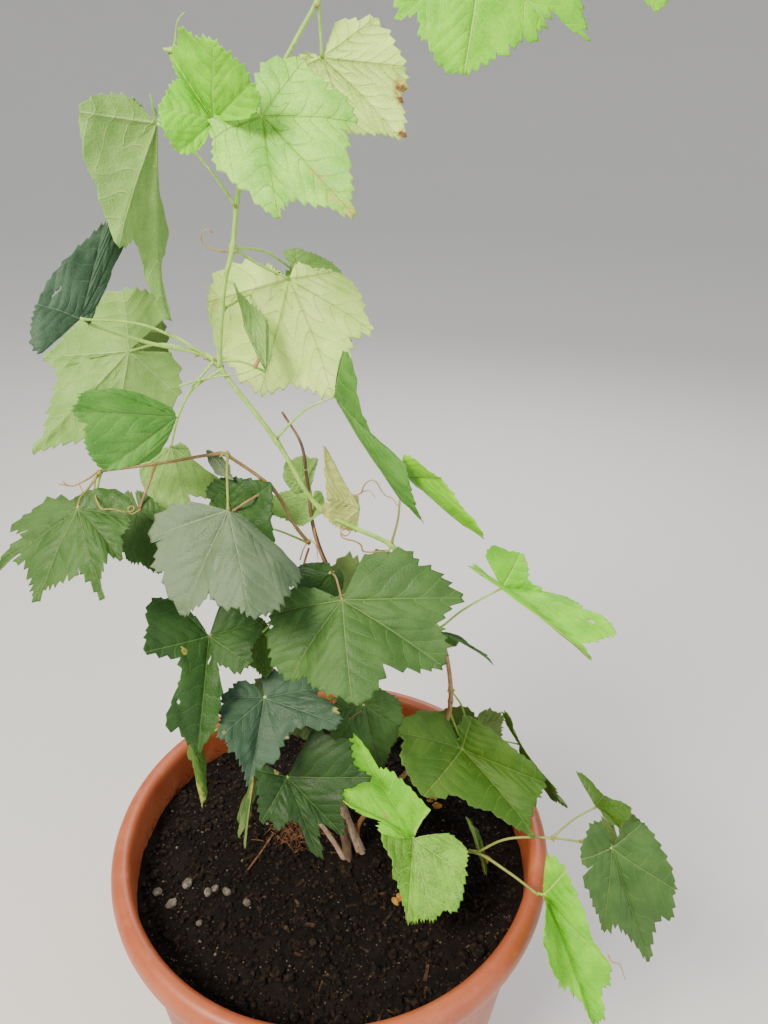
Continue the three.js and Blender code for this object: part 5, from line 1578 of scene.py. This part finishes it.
def build_second_stub():
    bm = bmesh.new()
    path = smooth_path([place(*spot) for spot in SECOND_STUB], 2 * MM)
    seed = Vector((3, 1, 7))

    def radius_at(distance, turn):
        spot = Vector((cos(turn) * 2, sin(turn) * 2, distance * 50)) + seed
        return SECOND_STUB_RADIUS * (1 + 0.3 * noise.noise(spot))

    add_tube(bm, path, radius_at, around=18)
    finished_piece("second_cut_stub", bm, [OLD_BARK])


build_roots()
build_second_stub()

# %% [markdown]
# A plain pale floor, a large soft key light from the upper left and a pale world show the plant
# as the picture does, without the hard patches of sun. In a studio the floor runs up into the
# wall in one wide curve, so no line shows behind the plant; a spun section does the same here.

# %% Floor, lights and camera
FLOOR_SECTION_M = [
    (0, 0), (4, 0), (8, 0), (9.5, 0.1), (11, 0.45), (12.3, 1.1), (13.3, 2.1), (13.9, 3.4),
    (14.1, 5), (14.2, 9),
]
FLOOR_TURNS = 64


def stage_floor():
    bm = spun(FLOOR_SECTION_M, 1, FLOOR_TURNS, 1e-5)
    bmesh.ops.recalc_face_normals(bm, faces=bm.faces)
    all_smooth(bm)
    material, _, shader, _ = new_material("matt studio floor")
    shader["Base Color"].default_value = linear("#d9d7d3")
    shader["Roughness"].default_value = 0.9
    floor = mesh_object("floor", bm, [material])


def soft_light(name, spot, aim, side_m, watts, colour):
    data = bpy.data.lights.new(name, "AREA")
    data.shape = "SQUARE"
    data.size = side_m
    data.energy = watts
    data.color = linear(colour)[:3]
    light = linked(name, data)
    light.location = spot
    light.rotation_euler = (Vector(aim) - Vector(spot)).to_track_quat("-Z", "Y").to_euler()


def studio_world():
    world = bpy.data.worlds.new("pale studio")
    world.use_nodes = True
    background = world.node_tree.nodes["Background"]
    background.inputs["Color"].default_value = linear("#eef1f4")
    background.inputs["Strength"].default_value = 0.92
    bpy.context.scene.world = world


stage_floor()
studio_world()
soft_light("key", (-1.1, -1.3, 2.3), (0, 0, 0.55), 0.8, 106, "#fff4e2")
soft_light("fill", (1.6, -1.6, 1.2), (0, 0, 0.5), 1.8, 24, "#eef3ff")
soft_light("rim", (0.4, 1.9, 1.9), (0, 0, 0.6), 1.2, 31, "#ffffff")

lens = bpy.data.cameras.new("camera")
lens.sensor_width = 36
lens.lens = 36 * FOCAL_LENGTH_PX / PICTURE_HEIGHT
lens.clip_start = 0.01
camera = linked("camera", lens)
turned = Matrix((ACROSS, UP, -FORWARD)).transposed().to_4x4()
camera.matrix_world = Matrix.Translation(EYE) @ turned
bpy.context.scene.camera = camera
